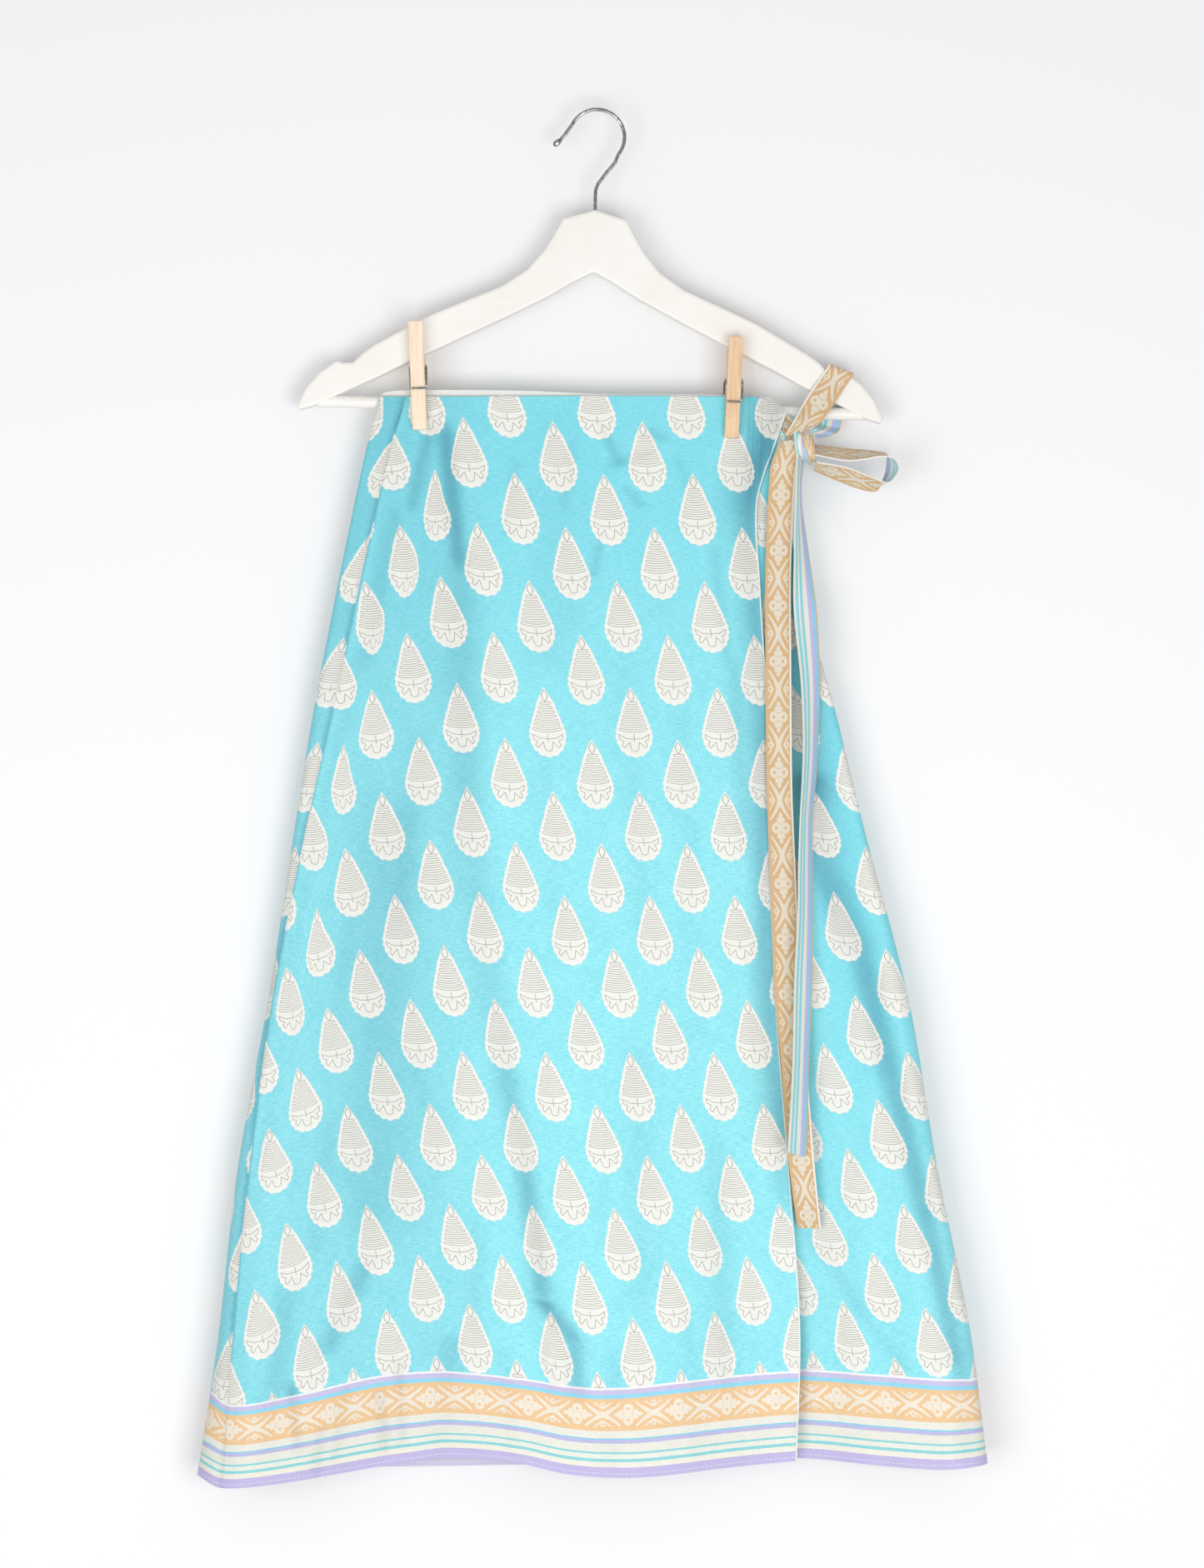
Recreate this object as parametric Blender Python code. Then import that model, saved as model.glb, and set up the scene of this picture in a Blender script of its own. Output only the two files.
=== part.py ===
# A printed silk wrap skirt, clipped flat to a wooden hanger with two clothes pegs.
# Millimetres in the tables, metres in the scene. +Z is up and -Y is the front.
# The origin is the inner top of the hanger's hook, where a rail carries it.

import math
from collections import namedtuple

import bmesh
import bpy
from mathutils import Matrix, Vector

MM = 0.001

# Hanger
HANGER_TILT = math.radians(1.4)
HANGER_THICK = 11.5
HANGER_ROUND = 2.2
BAR_RADIUS = 4.65
BAR_HEIGHT = -224.0
BAR_HALF_LENGTH = 206.0
HOOK_RADIUS = 20.9
HOOK_WIRE = 1.4
HOOK_BALL = 2.4
SHANK_IN_BODY = 10.0
FIT = 0.3

# Cloth
WALL = 1.1
HEM_EXTRA = 0.4
HEM_BAND = 9.5
WAIST_Z = -216.5
HEM_Z = -1022.1
PRESSED_Z = -240.0
SEAM_GAP = 0.32

# Depths of the three layers where the pegs press them on the bar
FRONT_Y = -8.75
BACK_Y = -5.55

# How far the layers swing out between the waist and the hem
FRONT_FLARE = 12.0
BACK_FLARE = 16.0
FRONT_SWELL = 15.0
FRONT_SWELL_LENGTH = 288.0
FRONT_CREST_X = 13.0
BACK_SWELL = 5.0
BACK_SWELL_LENGTH = 210.0
BACK_CREST_X = -40.0
UNDER_SHARE = 0.5
UNDER_RETURN = 60.0

# Share of each wrapped layer's columns that lies in front of, or behind, its own fold
BACK_TURN = 0.2
UNDER_TURN = 0.15

# Ties: a border strip folded in two
TIE_WIDTH = 19.3
TIE_THICK = 1.1

# Widths across the skirt at each height: the two folds, the left side seam, the free edge
# of the over layer and the hidden free edge of the under layer
Section = namedtuple("Section", "z left_fold left_seam overlap_edge under_edge right_fold")
SECTIONS = (
    Section(-216.5, -163.5, -144.8, 142.3, -73.0, 142.8),
    Section(-251.5, -172.8, -155.4, 133.5, -74.0, 142.2),
    Section(-295.2, -182.5, -165.4, 120.4, -75.0, 143.4),
    Section(-357.6, -195.3, -179.1, 122.4, -77.0, 152.6),
    Section(-451.2, -213.4, -199.1, 127.9, -80.0, 178.5),
    Section(-544.8, -228.4, -218.4, 129.2, -83.0, 201.6),
    Section(-669.6, -247.7, -240.6, 134.2, -87.0, 234.0),
    Section(-794.4, -270.2, -257.1, 143.8, -91.0, 255.2),
    Section(-919.2, -283.9, -272.1, 152.6, -95.0, 279.6),
    Section(-1022.1, -297.6, -280.8, 150.2, -98.0, 292.7),
)

# How far each edge lies above (+) or below (-) the plain waist and hem heights
EdgePoint = namedtuple("EdgePoint", "x rise")
FRONT_TOP = (EdgePoint(-170, 0), EdgePoint(114, 0), EdgePoint(132, -4.4), EdgePoint(143, -12.0))
BACK_TOP = (
    EdgePoint(-165, 2.5),
    EdgePoint(-150, 5.0),
    EdgePoint(-60, 5.0),
    EdgePoint(0, 2.5),
    EdgePoint(143, 0),
)
UNDER_TOP = (EdgePoint(-100, 0), EdgePoint(120, 0), EdgePoint(143, -2.0))
FRONT_HEM = (
    EdgePoint(-299, -5.0),
    EdgePoint(-279, -12.0),
    EdgePoint(-142, 3.0),
    EdgePoint(-110, 7.0),
    EdgePoint(-60, 5.0),
    EdgePoint(-22, -1.5),
    EdgePoint(29, -3.5),
    EdgePoint(93, 0.5),
    EdgePoint(150, 3.8),
)
BACK_HEM = (
    EdgePoint(-299, -5.0),
    EdgePoint(-148, -2.0),
    EdgePoint(-23, -2.0),
    EdgePoint(60, 2.0),
    EdgePoint(293, 4.4),
)
UNDER_HEM = (EdgePoint(-100, 6.0), EdgePoint(150, 4.4), EdgePoint(251, 1.2), EdgePoint(293, 4.4))

# Long soft creases of each layer, from top to bottom; a positive depth is a trough
Crease = namedtuple("Crease", "top_x top_z bottom_x bottom_z width depth")
FRONT_CREASES = (
    Crease(-128, -250, -142, -420, 9, 1.6),
    Crease(-108, -262, -118, -520, 12, -1.3),
    Crease(109, -262, 116, -500, 8, 1.9),
    Crease(86, -250, 98, -560, 14, -1.6),
    Crease(-30, -236, -46, -420, 16, 0.9),
    Crease(-214, -610, -258, -806, 7, 2.4),
    Crease(-66, -830, -34, -1010, 14, 2.2),
    Crease(-120, -700, -150, -980, 22, -2.4),
    Crease(96, -720, 112, -1000, 18, 2.0),
)
UNDER_CREASES = (
    Crease(176, -430, 192, -860, 13, 3.2),
    Crease(206, -480, 250, -980, 16, -2.2),
    Crease(210, -820, 222, -1015, 12, 1.8),
)
BACK_CREASES = (
    Crease(-110, -240, -150, -640, 14, -1.8),
    Crease(-40, -250, -60, -700, 18, 1.6),
    Crease(44, -240, 62, -620, 16, -1.9),
    Crease(104, -330, 150, -760, 14, 1.4),
    Crease(-150, -700, -190, -1010, 24, 2.4),
    Crease(20, -640, 10, -1010, 26, -2.6),
    Crease(150, -720, 180, -1010, 22, 2.4),
)

# Gathers at the two ends of the waist casing, which only rise outwards
Gather = namedtuple("Gather", "start_x end_x count rise fade_z")
RIGHT_GATHERS = Gather(113.5, 143.0, 5, 2.3, -330.0)
LEFT_GATHERS = Gather(-163.0, -146.0, 2, 1.6, -300.0)
PEG_GATHERS = Gather(-127.5, -114.0, 2, 1.5, -300.0)

# Pegs, measured from the bar's centre under each one
Peg = namedtuple("Peg", "side x top bottom pivot lean colour")
PEGS = (
    Peg("left", -134.4, 60.3, 20.8, 21.7, 2.2, (0.96, 0.80, 0.62)),
    Peg("right", 101.6, 54.6, 21.0, 17.4, -2.8, (0.86, 0.62, 0.40)),
)
PEG_WIDTH = 10.7
PEG_THICK = 8.0
PEG_FACE_Y = FRONT_Y - WALL / 2 - 0.4
GROOVE_RADIUS = BAR_RADIUS + 0.6
SPRING_WIRE = 0.8
SPRING_RADIUS = 6.3
SPRING_TURNS = 3

# Ties as seen from the front: the two edges at each station, the depth between them, and
# which edge is nearer (+1 the first, -1 the second) where the strip is turned
Station = namedtuple("Station", "ax az bx bz y turn")
GOLD_TAIL = (
    Station(137.0, -250.5, 143.2, -256.5, -14.2, 0),
    Station(134.0, -259.0, 143.6, -262.4, -15.0, 0),
    Station(130.5, -268.0, 148.6, -270.0, -15.0, 1),
    Station(129.2, -278.3, 148.5, -278.3, -14.6, 0),
    Station(127.3, -312.0, 146.6, -312.0, -14.4, 0),
    Station(126.1, -351.3, 145.4, -351.3, -14.0, 0),
    Station(126.1, -395.0, 145.4, -395.0, -14.2, 0),
    Station(126.8, -501.1, 146.1, -501.1, -15.0, 0),
    Station(128.7, -552.2, 147.9, -552.2, -15.0, 0),
    Station(131.0, -605.3, 150.2, -605.3, -14.6, 0),
    Station(132.9, -657.1, 152.2, -657.1, -14.2, 0),
    Station(138.0, -718.8, 157.2, -718.8, -13.6, 0),
    Station(143.6, -791.2, 162.8, -791.2, -13.0, 0),
    Station(150.4, -841.2, 168.0, -843.0, -12.6, 1),
)
STRIPED_TAIL = (
    Station(149.4, -264.2, 155.2, -264.4, -15.0, 1),
    Station(148.5, -293.3, 153.5, -293.3, -16.0, 1),
    Station(147.3, -340.7, 159.7, -340.7, -16.6, 1),
    Station(147.3, -378.8, 164.7, -378.8, -17.6, 1),
    Station(152.3, -430.0, 167.2, -430.0, -18.4, 1),
    Station(154.1, -471.7, 166.0, -471.7, -18.4, 1),
    Station(153.5, -499.8, 164.7, -499.8, -18.2, 1),
    Station(151.6, -534.8, 161.6, -534.8, -20.0, 1),
    Station(150.4, -569.7, 161.6, -569.7, -22.0, 1),
    Station(149.8, -605.3, 161.6, -605.3, -23.2, 1),
    Station(147.3, -657.1, 161.0, -657.1, -23.8, 1),
    Station(146.0, -718.8, 158.5, -718.8, -24.0, 1),
    Station(142.9, -776.3, 157.2, -776.3, -23.0, 1),
    Station(142.9, -783.7, 156.0, -788.1, -23.0, 1),
)
LOOP_OVER_ARM = (
    Station(141.0, -246.5, 158.0, -242.0, -17.4, 1),
    Station(149.0, -232.5, 166.2, -237.0, -14.6, 1),
    Station(156.0, -219.6, 172.9, -229.6, -11.0, 0),
    Station(167.2, -202.8, 184.7, -211.5, -7.4, 0),
    Station(173.3, -193.8, 192.1, -200.8, -6.7, 0),
    Station(174.3, -191.7, 193.0, -199.0, -4.8, 0),
    Station(174.7, -191.2, 193.3, -198.5, 0.0, 0),
    Station(174.3, -191.7, 193.0, -199.0, 4.8, 0),
    Station(173.0, -194.4, 191.8, -201.4, 6.7, 0),
    Station(170.0, -212.0, 188.5, -216.6, 7.2, 0),
    Station(166.6, -232.0, 184.0, -236.8, 7.2, 0),
    Station(164.8, -239.5, 183.2, -243.2, 5.6, 0),
    Station(163.6, -242.0, 181.5, -246.0, 0.5, 0),
    Station(161.2, -243.4, 176.5, -249.2, -5.0, 1),
    Station(158.6, -245.0, 169.0, -252.5, -8.5, 1),
)
LOOP_RIGHT = (
    Station(162.7, -261.4, 162.9, -252.4, -14.6, 1),
    Station(186.0, -265.8, 184.1, -255.2, -16.0, 1),
    Station(201.6, -264.6, 205.9, -257.1, -16.4, 1),
    Station(211.6, -262.8, 221.5, -259.6, -16.6, 1),
    Station(217.2, -267.7, 225.9, -267.7, -16.8, 1),
    Station(215.9, -274.6, 221.5, -279.6, -16.8, 1),
    Station(211.6, -281.4, 211.6, -287.7, -16.6, 1),
    Station(199.1, -275.4, 199.7, -286.4, -16.0, 1),
    Station(186.0, -270.6, 182.8, -280.2, -15.4, 1),
    Station(164.2, -267.0, 162.6, -271.4, -14.6, 1),
)
TIE_LEAD = (
    Station(143.5, -232.5, 143.6, -242.5, -7.1, 0),
    Station(147.3, -235.6, 146.4, -245.0, -9.2, 0),
    Station(151.0, -239.5, 149.6, -246.0, -10.2, 0),
)
KNOT_CENTRE = Vector((152.6, -14.0, -255.0))
KNOT_HALF = Vector((9.4, 6.6, 8.8))


def material(name, colour, roughness, metallic=0.0):
    made = bpy.data.materials.new(name)
    made.use_nodes = True
    shader = made.node_tree.nodes["Principled BSDF"]
    shader.inputs["Base Color"].default_value = (*colour, 1.0)
    shader.inputs["Roughness"].default_value = roughness
    shader.inputs["Metallic"].default_value = metallic
    made.diffuse_color = (*colour, 1.0)
    return made


def add_object(name, mesh, finish=None, parent=None):
    made = bpy.data.objects.new(name, mesh)
    bpy.context.scene.collection.objects.link(made)
    made.parent = parent
    if finish:
        mesh.materials.append(finish)
    return made


def add_empty(name, place, turn_y=0.0):
    made = bpy.data.objects.new(name, None)
    bpy.context.scene.collection.objects.link(made)
    made.location = Vector(place) * MM
    made.rotation_euler.y = turn_y
    return made


def mesh_from(name, points, faces):
    """A closed mesh from points in millimetres, with its faces turned outwards."""
    mesh = bpy.data.meshes.new(name)
    mesh.from_pydata([Vector(point) * MM for point in points], [], faces)
    work = bmesh.new()
    work.from_mesh(mesh)
    bmesh.ops.recalc_face_normals(work, faces=work.faces)
    work.to_mesh(mesh)
    work.free()
    mesh.shade_smooth()
    mesh.set_sharp_from_angle(angle=math.radians(40))
    return mesh


def smooth_step(value):
    held = min(max(value, 0.0), 1.0)
    return held * held * (3 - 2 * held)


def blend(start, end, share):
    return start + (end - start) * share


def along_table(rows, key, column, at):
    """A smooth curve through one column of a table, read at a value of its key column."""
    keys = [getattr(row, key) for row in rows]
    values = [getattr(row, column) for row in rows]
    if keys[0] > keys[-1]:
        keys.reverse()
        values.reverse()
    at = min(max(at, keys[0]), keys[-1])
    right = next(i for i in range(1, len(keys)) if at <= keys[i])
    left = right - 1

    def slope(i):
        before, after = max(i - 1, 0), min(i + 1, len(keys) - 1)
        return (values[after] - values[before]) / (keys[after] - keys[before])

    span = keys[right] - keys[left]
    t = (at - keys[left]) / span
    return (
        values[left] * (2 * t**3 - 3 * t**2 + 1)
        + slope(left) * span * (t**3 - 2 * t**2 + t)
        + values[right] * (3 * t**2 - 2 * t**3)
        + slope(right) * span * (t**3 - t**2)
    )


def section(column, z):
    return along_table(SECTIONS, "z", column, z)


def fall(z):
    """0 where the pegs press the cloth, 1 at the hem."""
    return min(max((PRESSED_Z - z) / (PRESSED_Z - HEM_Z), 0.0), 1.0)


def swell(x, z, height, length, crest_x):
    return height * fall(z) ** 1.6 * math.cos(2 * math.pi * (x - crest_x) / length)


def crease_depth(creases, x, z):
    total = 0.0
    for crease in creases:
        share = (z - crease.top_z) / (crease.bottom_z - crease.top_z)
        if 0 < share < 1:
            middle = blend(crease.top_x, crease.bottom_x, share)
            strength = smooth_step(share / 0.3) * smooth_step((1 - share) / 0.25)
            total += crease.depth * strength * math.exp(-(((x - middle) / crease.width) ** 2))
    return total


def gather_rise(gather, x, z):
    """Pleats that fan out from the casing and die away below it."""
    spread = 1 + 0.5 * smooth_step((WAIST_Z - z) / 120)
    middle = (gather.start_x + gather.end_x) / 2
    share = ((x - middle) / spread + middle - gather.start_x) / (gather.end_x - gather.start_x)
    if not 0 < share < 1:
        return 0.0
    down = (z - WAIST_Z) / (gather.fade_z - WAIST_Z)
    strength = smooth_step(down / 0.12 + 0.35) * smooth_step((1 - down) / 0.7)
    uneven = 0.75 + 0.25 * math.sin(7.3 * share + 1.1)
    return gather.rise * strength * uneven * (0.5 - 0.5 * math.cos(2 * math.pi * gather.count * share))


def front_plain(x, z):
    seam = section("left_seam", z)
    valley = 1.6 * fall(z) ** 0.5 * math.exp(-(((x - seam) / 6) ** 2))
    flare = FRONT_Y - FRONT_FLARE * fall(z)
    return (
        flare
        - swell(x, z, FRONT_SWELL, FRONT_SWELL_LENGTH, FRONT_CREST_X)
        + valley
        + crease_depth(FRONT_CREASES, x, z)
    )


def back_plain(x, z):
    flare = BACK_Y + BACK_FLARE * fall(z)
    press = smooth_step((PRESSED_Z - z) / 60)
    return (
        flare
        + swell(x, z, BACK_SWELL, BACK_SWELL_LENGTH, BACK_CREST_X)
        - press * crease_depth(BACK_CREASES, x, z)
    )


def under_plain(x, z):
    """The hidden layer lies midway; past the over layer's edge it comes forward to the face."""
    edge = section("overlap_edge", z)
    share = UNDER_SHARE * (1 - smooth_step((x - edge) / UNDER_RETURN))
    return blend(front_plain(x, z), back_plain(x, z), share) + crease_depth(UNDER_CREASES, x, z)


def fold_shape(distance, half_depth, z):
    """How far a layer has opened out at a distance from its fold: a quarter ellipse."""
    reach = max(half_depth, 0.1) * (1 + 0.8 * fall(z))
    inside = 1 - min(max(distance, 0.0) / reach, 1.0)
    return math.sqrt(max(1 - inside * inside, 0.0))


def left_folded(plain, x, z):
    fold_x = section("left_fold", z)
    front, back = front_plain(fold_x, z), back_plain(fold_x, z)
    middle = (front + back) / 2
    shape = fold_shape(x - fold_x, (back - front) / 2, z)
    return middle + (plain - middle) * shape


def right_folded(plain, x, z):
    fold_x = section("right_fold", z)
    front, back = under_plain(fold_x, z), back_plain(fold_x, z)
    middle = (front + back) / 2
    shape = fold_shape(fold_x - x, (back - front) / 2, z)
    return middle + (plain - middle) * shape


def cloth_z(x, z, top, hem):
    """The nominal height, moved with the waist line near the top and the hem line below."""
    top_share = 1 - smooth_step((WAIST_Z - z) / 60)
    hem_share = smooth_step((-780 - z) / 190)
    waist_rise = along_table(top, "x", "rise", x)
    hem_rise = along_table(hem, "x", "rise", x)
    return z + top_share * waist_rise + hem_share * hem_rise


def front_point(u, z):
    seam = section("left_seam", z) + SEAM_GAP / 2
    x = blend(seam, section("overlap_edge", z), u)
    y = left_folded(front_plain(x, z), x, z)
    y -= gather_rise(RIGHT_GATHERS, x, z) + gather_rise(PEG_GATHERS, x, z)
    return Vector((x, y, cloth_z(x, z, FRONT_TOP, FRONT_HEM)))


def eased(share):
    """Even spacing, but drawn close together near the start, where a layer folds."""
    start = 0.2
    if share < start:
        return share * share / (2 * start) / (1 - start / 2)
    return (share - start / 2) / (1 - start / 2)


def seam_reach(z):
    """How far behind the right fold the right side seam lies."""
    return blend(3.0, 10.0, fall(z))


def back_point(u, z):
    """From the left seam over the left fold (u up to BACK_TURN), then across the back."""
    fold_x = section("left_fold", z)
    if u < BACK_TURN:
        reach = section("left_seam", z) - SEAM_GAP / 2 - fold_x
        x = fold_x + reach * (1 - u / BACK_TURN) ** 2
        y = left_folded(front_plain(x, z), x, z) - gather_rise(LEFT_GATHERS, x, z)
    else:
        end = section("right_fold", z) - seam_reach(z) - SEAM_GAP / 2
        x = fold_x + (end - fold_x) * eased((u - BACK_TURN) / (1 - BACK_TURN))
        y = left_folded(back_plain(x, z), x, z)
        y = right_folded(y, x, z)
    front_share = smooth_step((BACK_TURN + 0.05 - u) / 0.1)
    height = blend(cloth_z(x, z, BACK_TOP, BACK_HEM), cloth_z(x, z, BACK_TOP, FRONT_HEM), front_share)
    return Vector((x, y, height))


def under_point(u, z):
    """From the right seam over the right fold (u up to UNDER_TURN), then in under the front."""
    fold_x = section("right_fold", z)
    if u < UNDER_TURN:
        x = fold_x - (seam_reach(z) - SEAM_GAP / 2) * (1 - u / UNDER_TURN) ** 2
        y = right_folded(back_plain(x, z), x, z)
    else:
        x = fold_x - (fold_x - section("under_edge", z)) * eased((u - UNDER_TURN) / (1 - UNDER_TURN))
        y = right_folded(under_plain(x, z), x, z)
    return Vector((x, y, cloth_z(x, z, UNDER_TOP, UNDER_HEM)))


def columns(*zones):
    """Column positions from 0 to 1: each zone is its end and its number of columns."""
    places, start = [0.0], 0.0
    for end, count in zones:
        places += [blend(start, end, (i + 1) / count) for i in range(count)]
        start = end
    return places


def row_heights(count):
    """Rows from waist to hem, closer near the waist, with one at the hem fold's top."""
    heights = [blend(WAIST_Z, HEM_Z, (i / count) ** 1.35) for i in range(count)]
    return heights + [HEM_Z + HEM_BAND, HEM_Z + HEM_BAND - 1, HEM_Z]


def add_panel(name, point_at, across, rows, finish):
    """A cloth wall: the surface point_at(u, z), thickened evenly to both sides."""
    step_u, step_z = 1e-4, 0.05
    outer, inner = [], []
    for z in rows:
        half = (WALL + HEM_EXTRA * (z < HEM_Z + HEM_BAND - 0.5)) / 2
        for u in across:
            here = point_at(u, z)
            along = point_at(min(u + step_u, 1), z) - point_at(max(u - step_u, 0), z)
            down = point_at(u, z - step_z) - point_at(u, z + step_z)
            normal = along.cross(down).normalized()
            outer.append(here + normal * half)
            inner.append(here - normal * half)
    wide, tall = len(across), len(rows)
    offset = wide * tall
    faces = []
    for r in range(tall - 1):
        for c in range(wide - 1):
            a = r * wide + c
            corners = (a, a + 1, a + wide + 1, a + wide)
            for one, two, three in ((0, 1, 2), (0, 2, 3)):
                faces.append((corners[one], corners[two], corners[three]))
                faces.append((offset + corners[one], offset + corners[three], offset + corners[two]))
    rim = [c for c in range(wide)]
    rim += [r * wide + wide - 1 for r in range(1, tall)]
    rim += [(tall - 1) * wide + c for c in range(wide - 2, -1, -1)]
    rim += [r * wide for r in range(tall - 2, 0, -1)]
    for a, b in zip(rim, rim[1:] + rim[:1]):
        faces.append((a, a + offset, b + offset, b))
    return add_object(name, mesh_from(name, outer + inner, faces), finish)


def spline_rows(stations, steps):
    """Stations in between the given ones, on a smooth curve through all of them."""
    rows = []
    for i in range(len(stations) - 1):
        around = [stations[max(0, min(len(stations) - 1, i + k))] for k in (-1, 0, 1, 2)]
        for step in range(steps):
            t = step / steps
            weights = (
                (-t + 2 * t**2 - t**3) / 2,
                (2 - 5 * t**2 + 3 * t**3) / 2,
                (t + 4 * t**2 - 3 * t**3) / 2,
                (t**3 - t**2) / 2,
            )
            mixed = [sum(w * value for w, value in zip(weights, column)) for column in zip(*around)]
            rows.append(Station(*mixed))
    return rows + [stations[-1]]


def add_tie(name, stations, steps, finish):
    """A flat strip through its stations. Where it looks narrow, its edges part in depth."""
    edges = []
    for row in spline_rows(stations, steps):
        seen = (row.bx - row.ax) ** 2 + (row.bz - row.az) ** 2
        depth = math.sqrt(max(TIE_WIDTH**2 - seen, 0.0)) / 2 * row.turn
        edges.append((Vector((row.ax, row.y - depth, row.az)), Vector((row.bx, row.y + depth, row.bz))))
    points, faces = [], []
    for i, (first, second) in enumerate(edges):
        before, after = edges[max(i - 1, 0)], edges[min(i + 1, len(edges) - 1)]
        along = (after[0] + after[1] - before[0] - before[1]).normalized()
        face = (second - first).cross(along).normalized() * TIE_THICK / 2
        points += [first + face, second + face, second - face, first - face]
    for i in range(len(edges) - 1):
        for k in range(4):
            a, b = 4 * i + k, 4 * i + (k + 1) % 4
            if k < 2:
                faces += [(a, b, b + 4), (a, b + 4, a + 4)]
            else:
                faces += [(a, b, a + 4), (b, b + 4, a + 4)]
    last = 4 * (len(edges) - 1)
    faces += [(3, 2, 1, 0), (last, last + 1, last + 2, last + 3)]
    return add_object(name, mesh_from(name, points, faces), finish)


def add_knot(finish):
    """A squarish lump with three soft ridges where the strips cross."""
    points, faces = [], []
    rings, around = 10, 16
    for i in range(1, rings):
        polar = math.pi * i / rings
        for k in range(around):
            turn = 2 * math.pi * k / around
            ridge = 1 + 0.05 * math.cos(3 * turn)
            direction = (
                math.sin(polar) * math.cos(turn),
                math.sin(polar) * math.sin(turn),
                math.cos(polar),
            )
            box = [math.copysign(abs(part) ** 0.75, part) * ridge for part in direction]
            points.append(KNOT_CENTRE + Vector(part * half for part, half in zip(box, KNOT_HALF)))
    for i in range(rings - 2):
        for k in range(around):
            a, b = i * around + k, i * around + (k + 1) % around
            faces.append((a, b, b + around, a + around))
    faces.append(tuple(range(around)))
    faces.append(tuple(range((rings - 2) * around, (rings - 1) * around))[::-1])
    return add_object("tie_knot", mesh_from("tie_knot", points, faces), finish)


def add_tube(name, path, radii, sides, finish, parent):
    """A round wire along a path, with flat ends and one radius for each point."""
    points, faces = [], []
    across = None
    for i, here in enumerate(path):
        along = (path[min(i + 1, len(path) - 1)] - path[max(i - 1, 0)]).normalized()
        if across is None:
            guide = Vector((0, 1, 0)) if abs(along.y) < 0.9 else Vector((1, 0, 0))
            across = guide.cross(along)
        across = (across - along * across.dot(along)).normalized()
        up = along.cross(across)
        for k in range(sides):
            turn = 2 * math.pi * k / sides
            points.append(here + (across * math.cos(turn) + up * math.sin(turn)) * radii[i])
    for i in range(len(path) - 1):
        for k in range(sides):
            a, b = i * sides + k, i * sides + (k + 1) % sides
            faces.append((a, b, b + sides, a + sides))
    faces.append(tuple(range(sides))[::-1])
    faces.append(tuple(range((len(path) - 1) * sides, len(path) * sides)))
    return add_object(name, mesh_from(name, points, faces), finish, parent)


def add_slab(name, outline, width, axis, finish, parent, round_edges):
    """A flat outline given in two axes, extruded evenly to both sides of the third."""
    mesh = bpy.data.meshes.new(name)
    work = bmesh.new()
    corners = []
    for a, b in outline:
        place = (a, -width / 2, b) if axis == "y" else (-width / 2, a, b)
        corners.append(work.verts.new(Vector(place) * MM))
    face = work.faces.new(corners)
    raised = bmesh.ops.extrude_face_region(work, geom=[face])
    moved = [item for item in raised["geom"] if isinstance(item, bmesh.types.BMVert)]
    shift = Vector((0, width, 0)) if axis == "y" else Vector((width, 0, 0))
    bmesh.ops.translate(work, verts=moved, vec=shift * MM)
    bmesh.ops.recalc_face_normals(work, faces=work.faces)
    work.to_mesh(mesh)
    work.free()
    made = add_object(name, mesh, finish, parent)
    edge = made.modifiers.new("Soft edge", "BEVEL")
    edge.width = round_edges * MM
    edge.segments = 2
    edge.limit_method = "ANGLE"
    edge.angle_limit = math.radians(50)
    return made


def add_cutter(name, radius, length, place, turn, parent):
    """A plain cylinder that only cuts holes."""
    mesh = bpy.data.meshes.new(name)
    work = bmesh.new()
    bmesh.ops.create_cone(
        work,
        cap_ends=True,
        segments=20,
        radius1=radius * MM,
        radius2=radius * MM,
        depth=length * MM,
        matrix=Matrix.Rotation(turn, 4, "Y"),
    )
    work.to_mesh(mesh)
    work.free()
    made = add_object(name, mesh, None, parent)
    made.location = Vector(place) * MM
    made.hide_render = True
    made.display_type = "WIRE"
    return made


def cut(target, cutter):
    hole = target.modifiers.new("Hole " + cutter.name, "BOOLEAN")
    hole.operation = "DIFFERENCE"
    hole.object = cutter


def hook_path():
    """From inside the wood up the shank, round the open circle and out to the tip."""
    centre = Vector((0, 0, -HOOK_RADIUS + HOOK_WIRE))
    path = [Vector((0, 0, z)) for z in (-75 - SHANK_IN_BODY, -70, -60)]
    path += [Vector((1.6, 0, -55.0)), Vector((7.5, 0, -46.8)), Vector((14.4, 0, -38.2))]
    for step in range(22):
        turn = math.radians(-38 + step * 9.2)
        path.append(centre + Vector((math.cos(turn), 0, math.sin(turn))) * HOOK_RADIUS)
    return path


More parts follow.
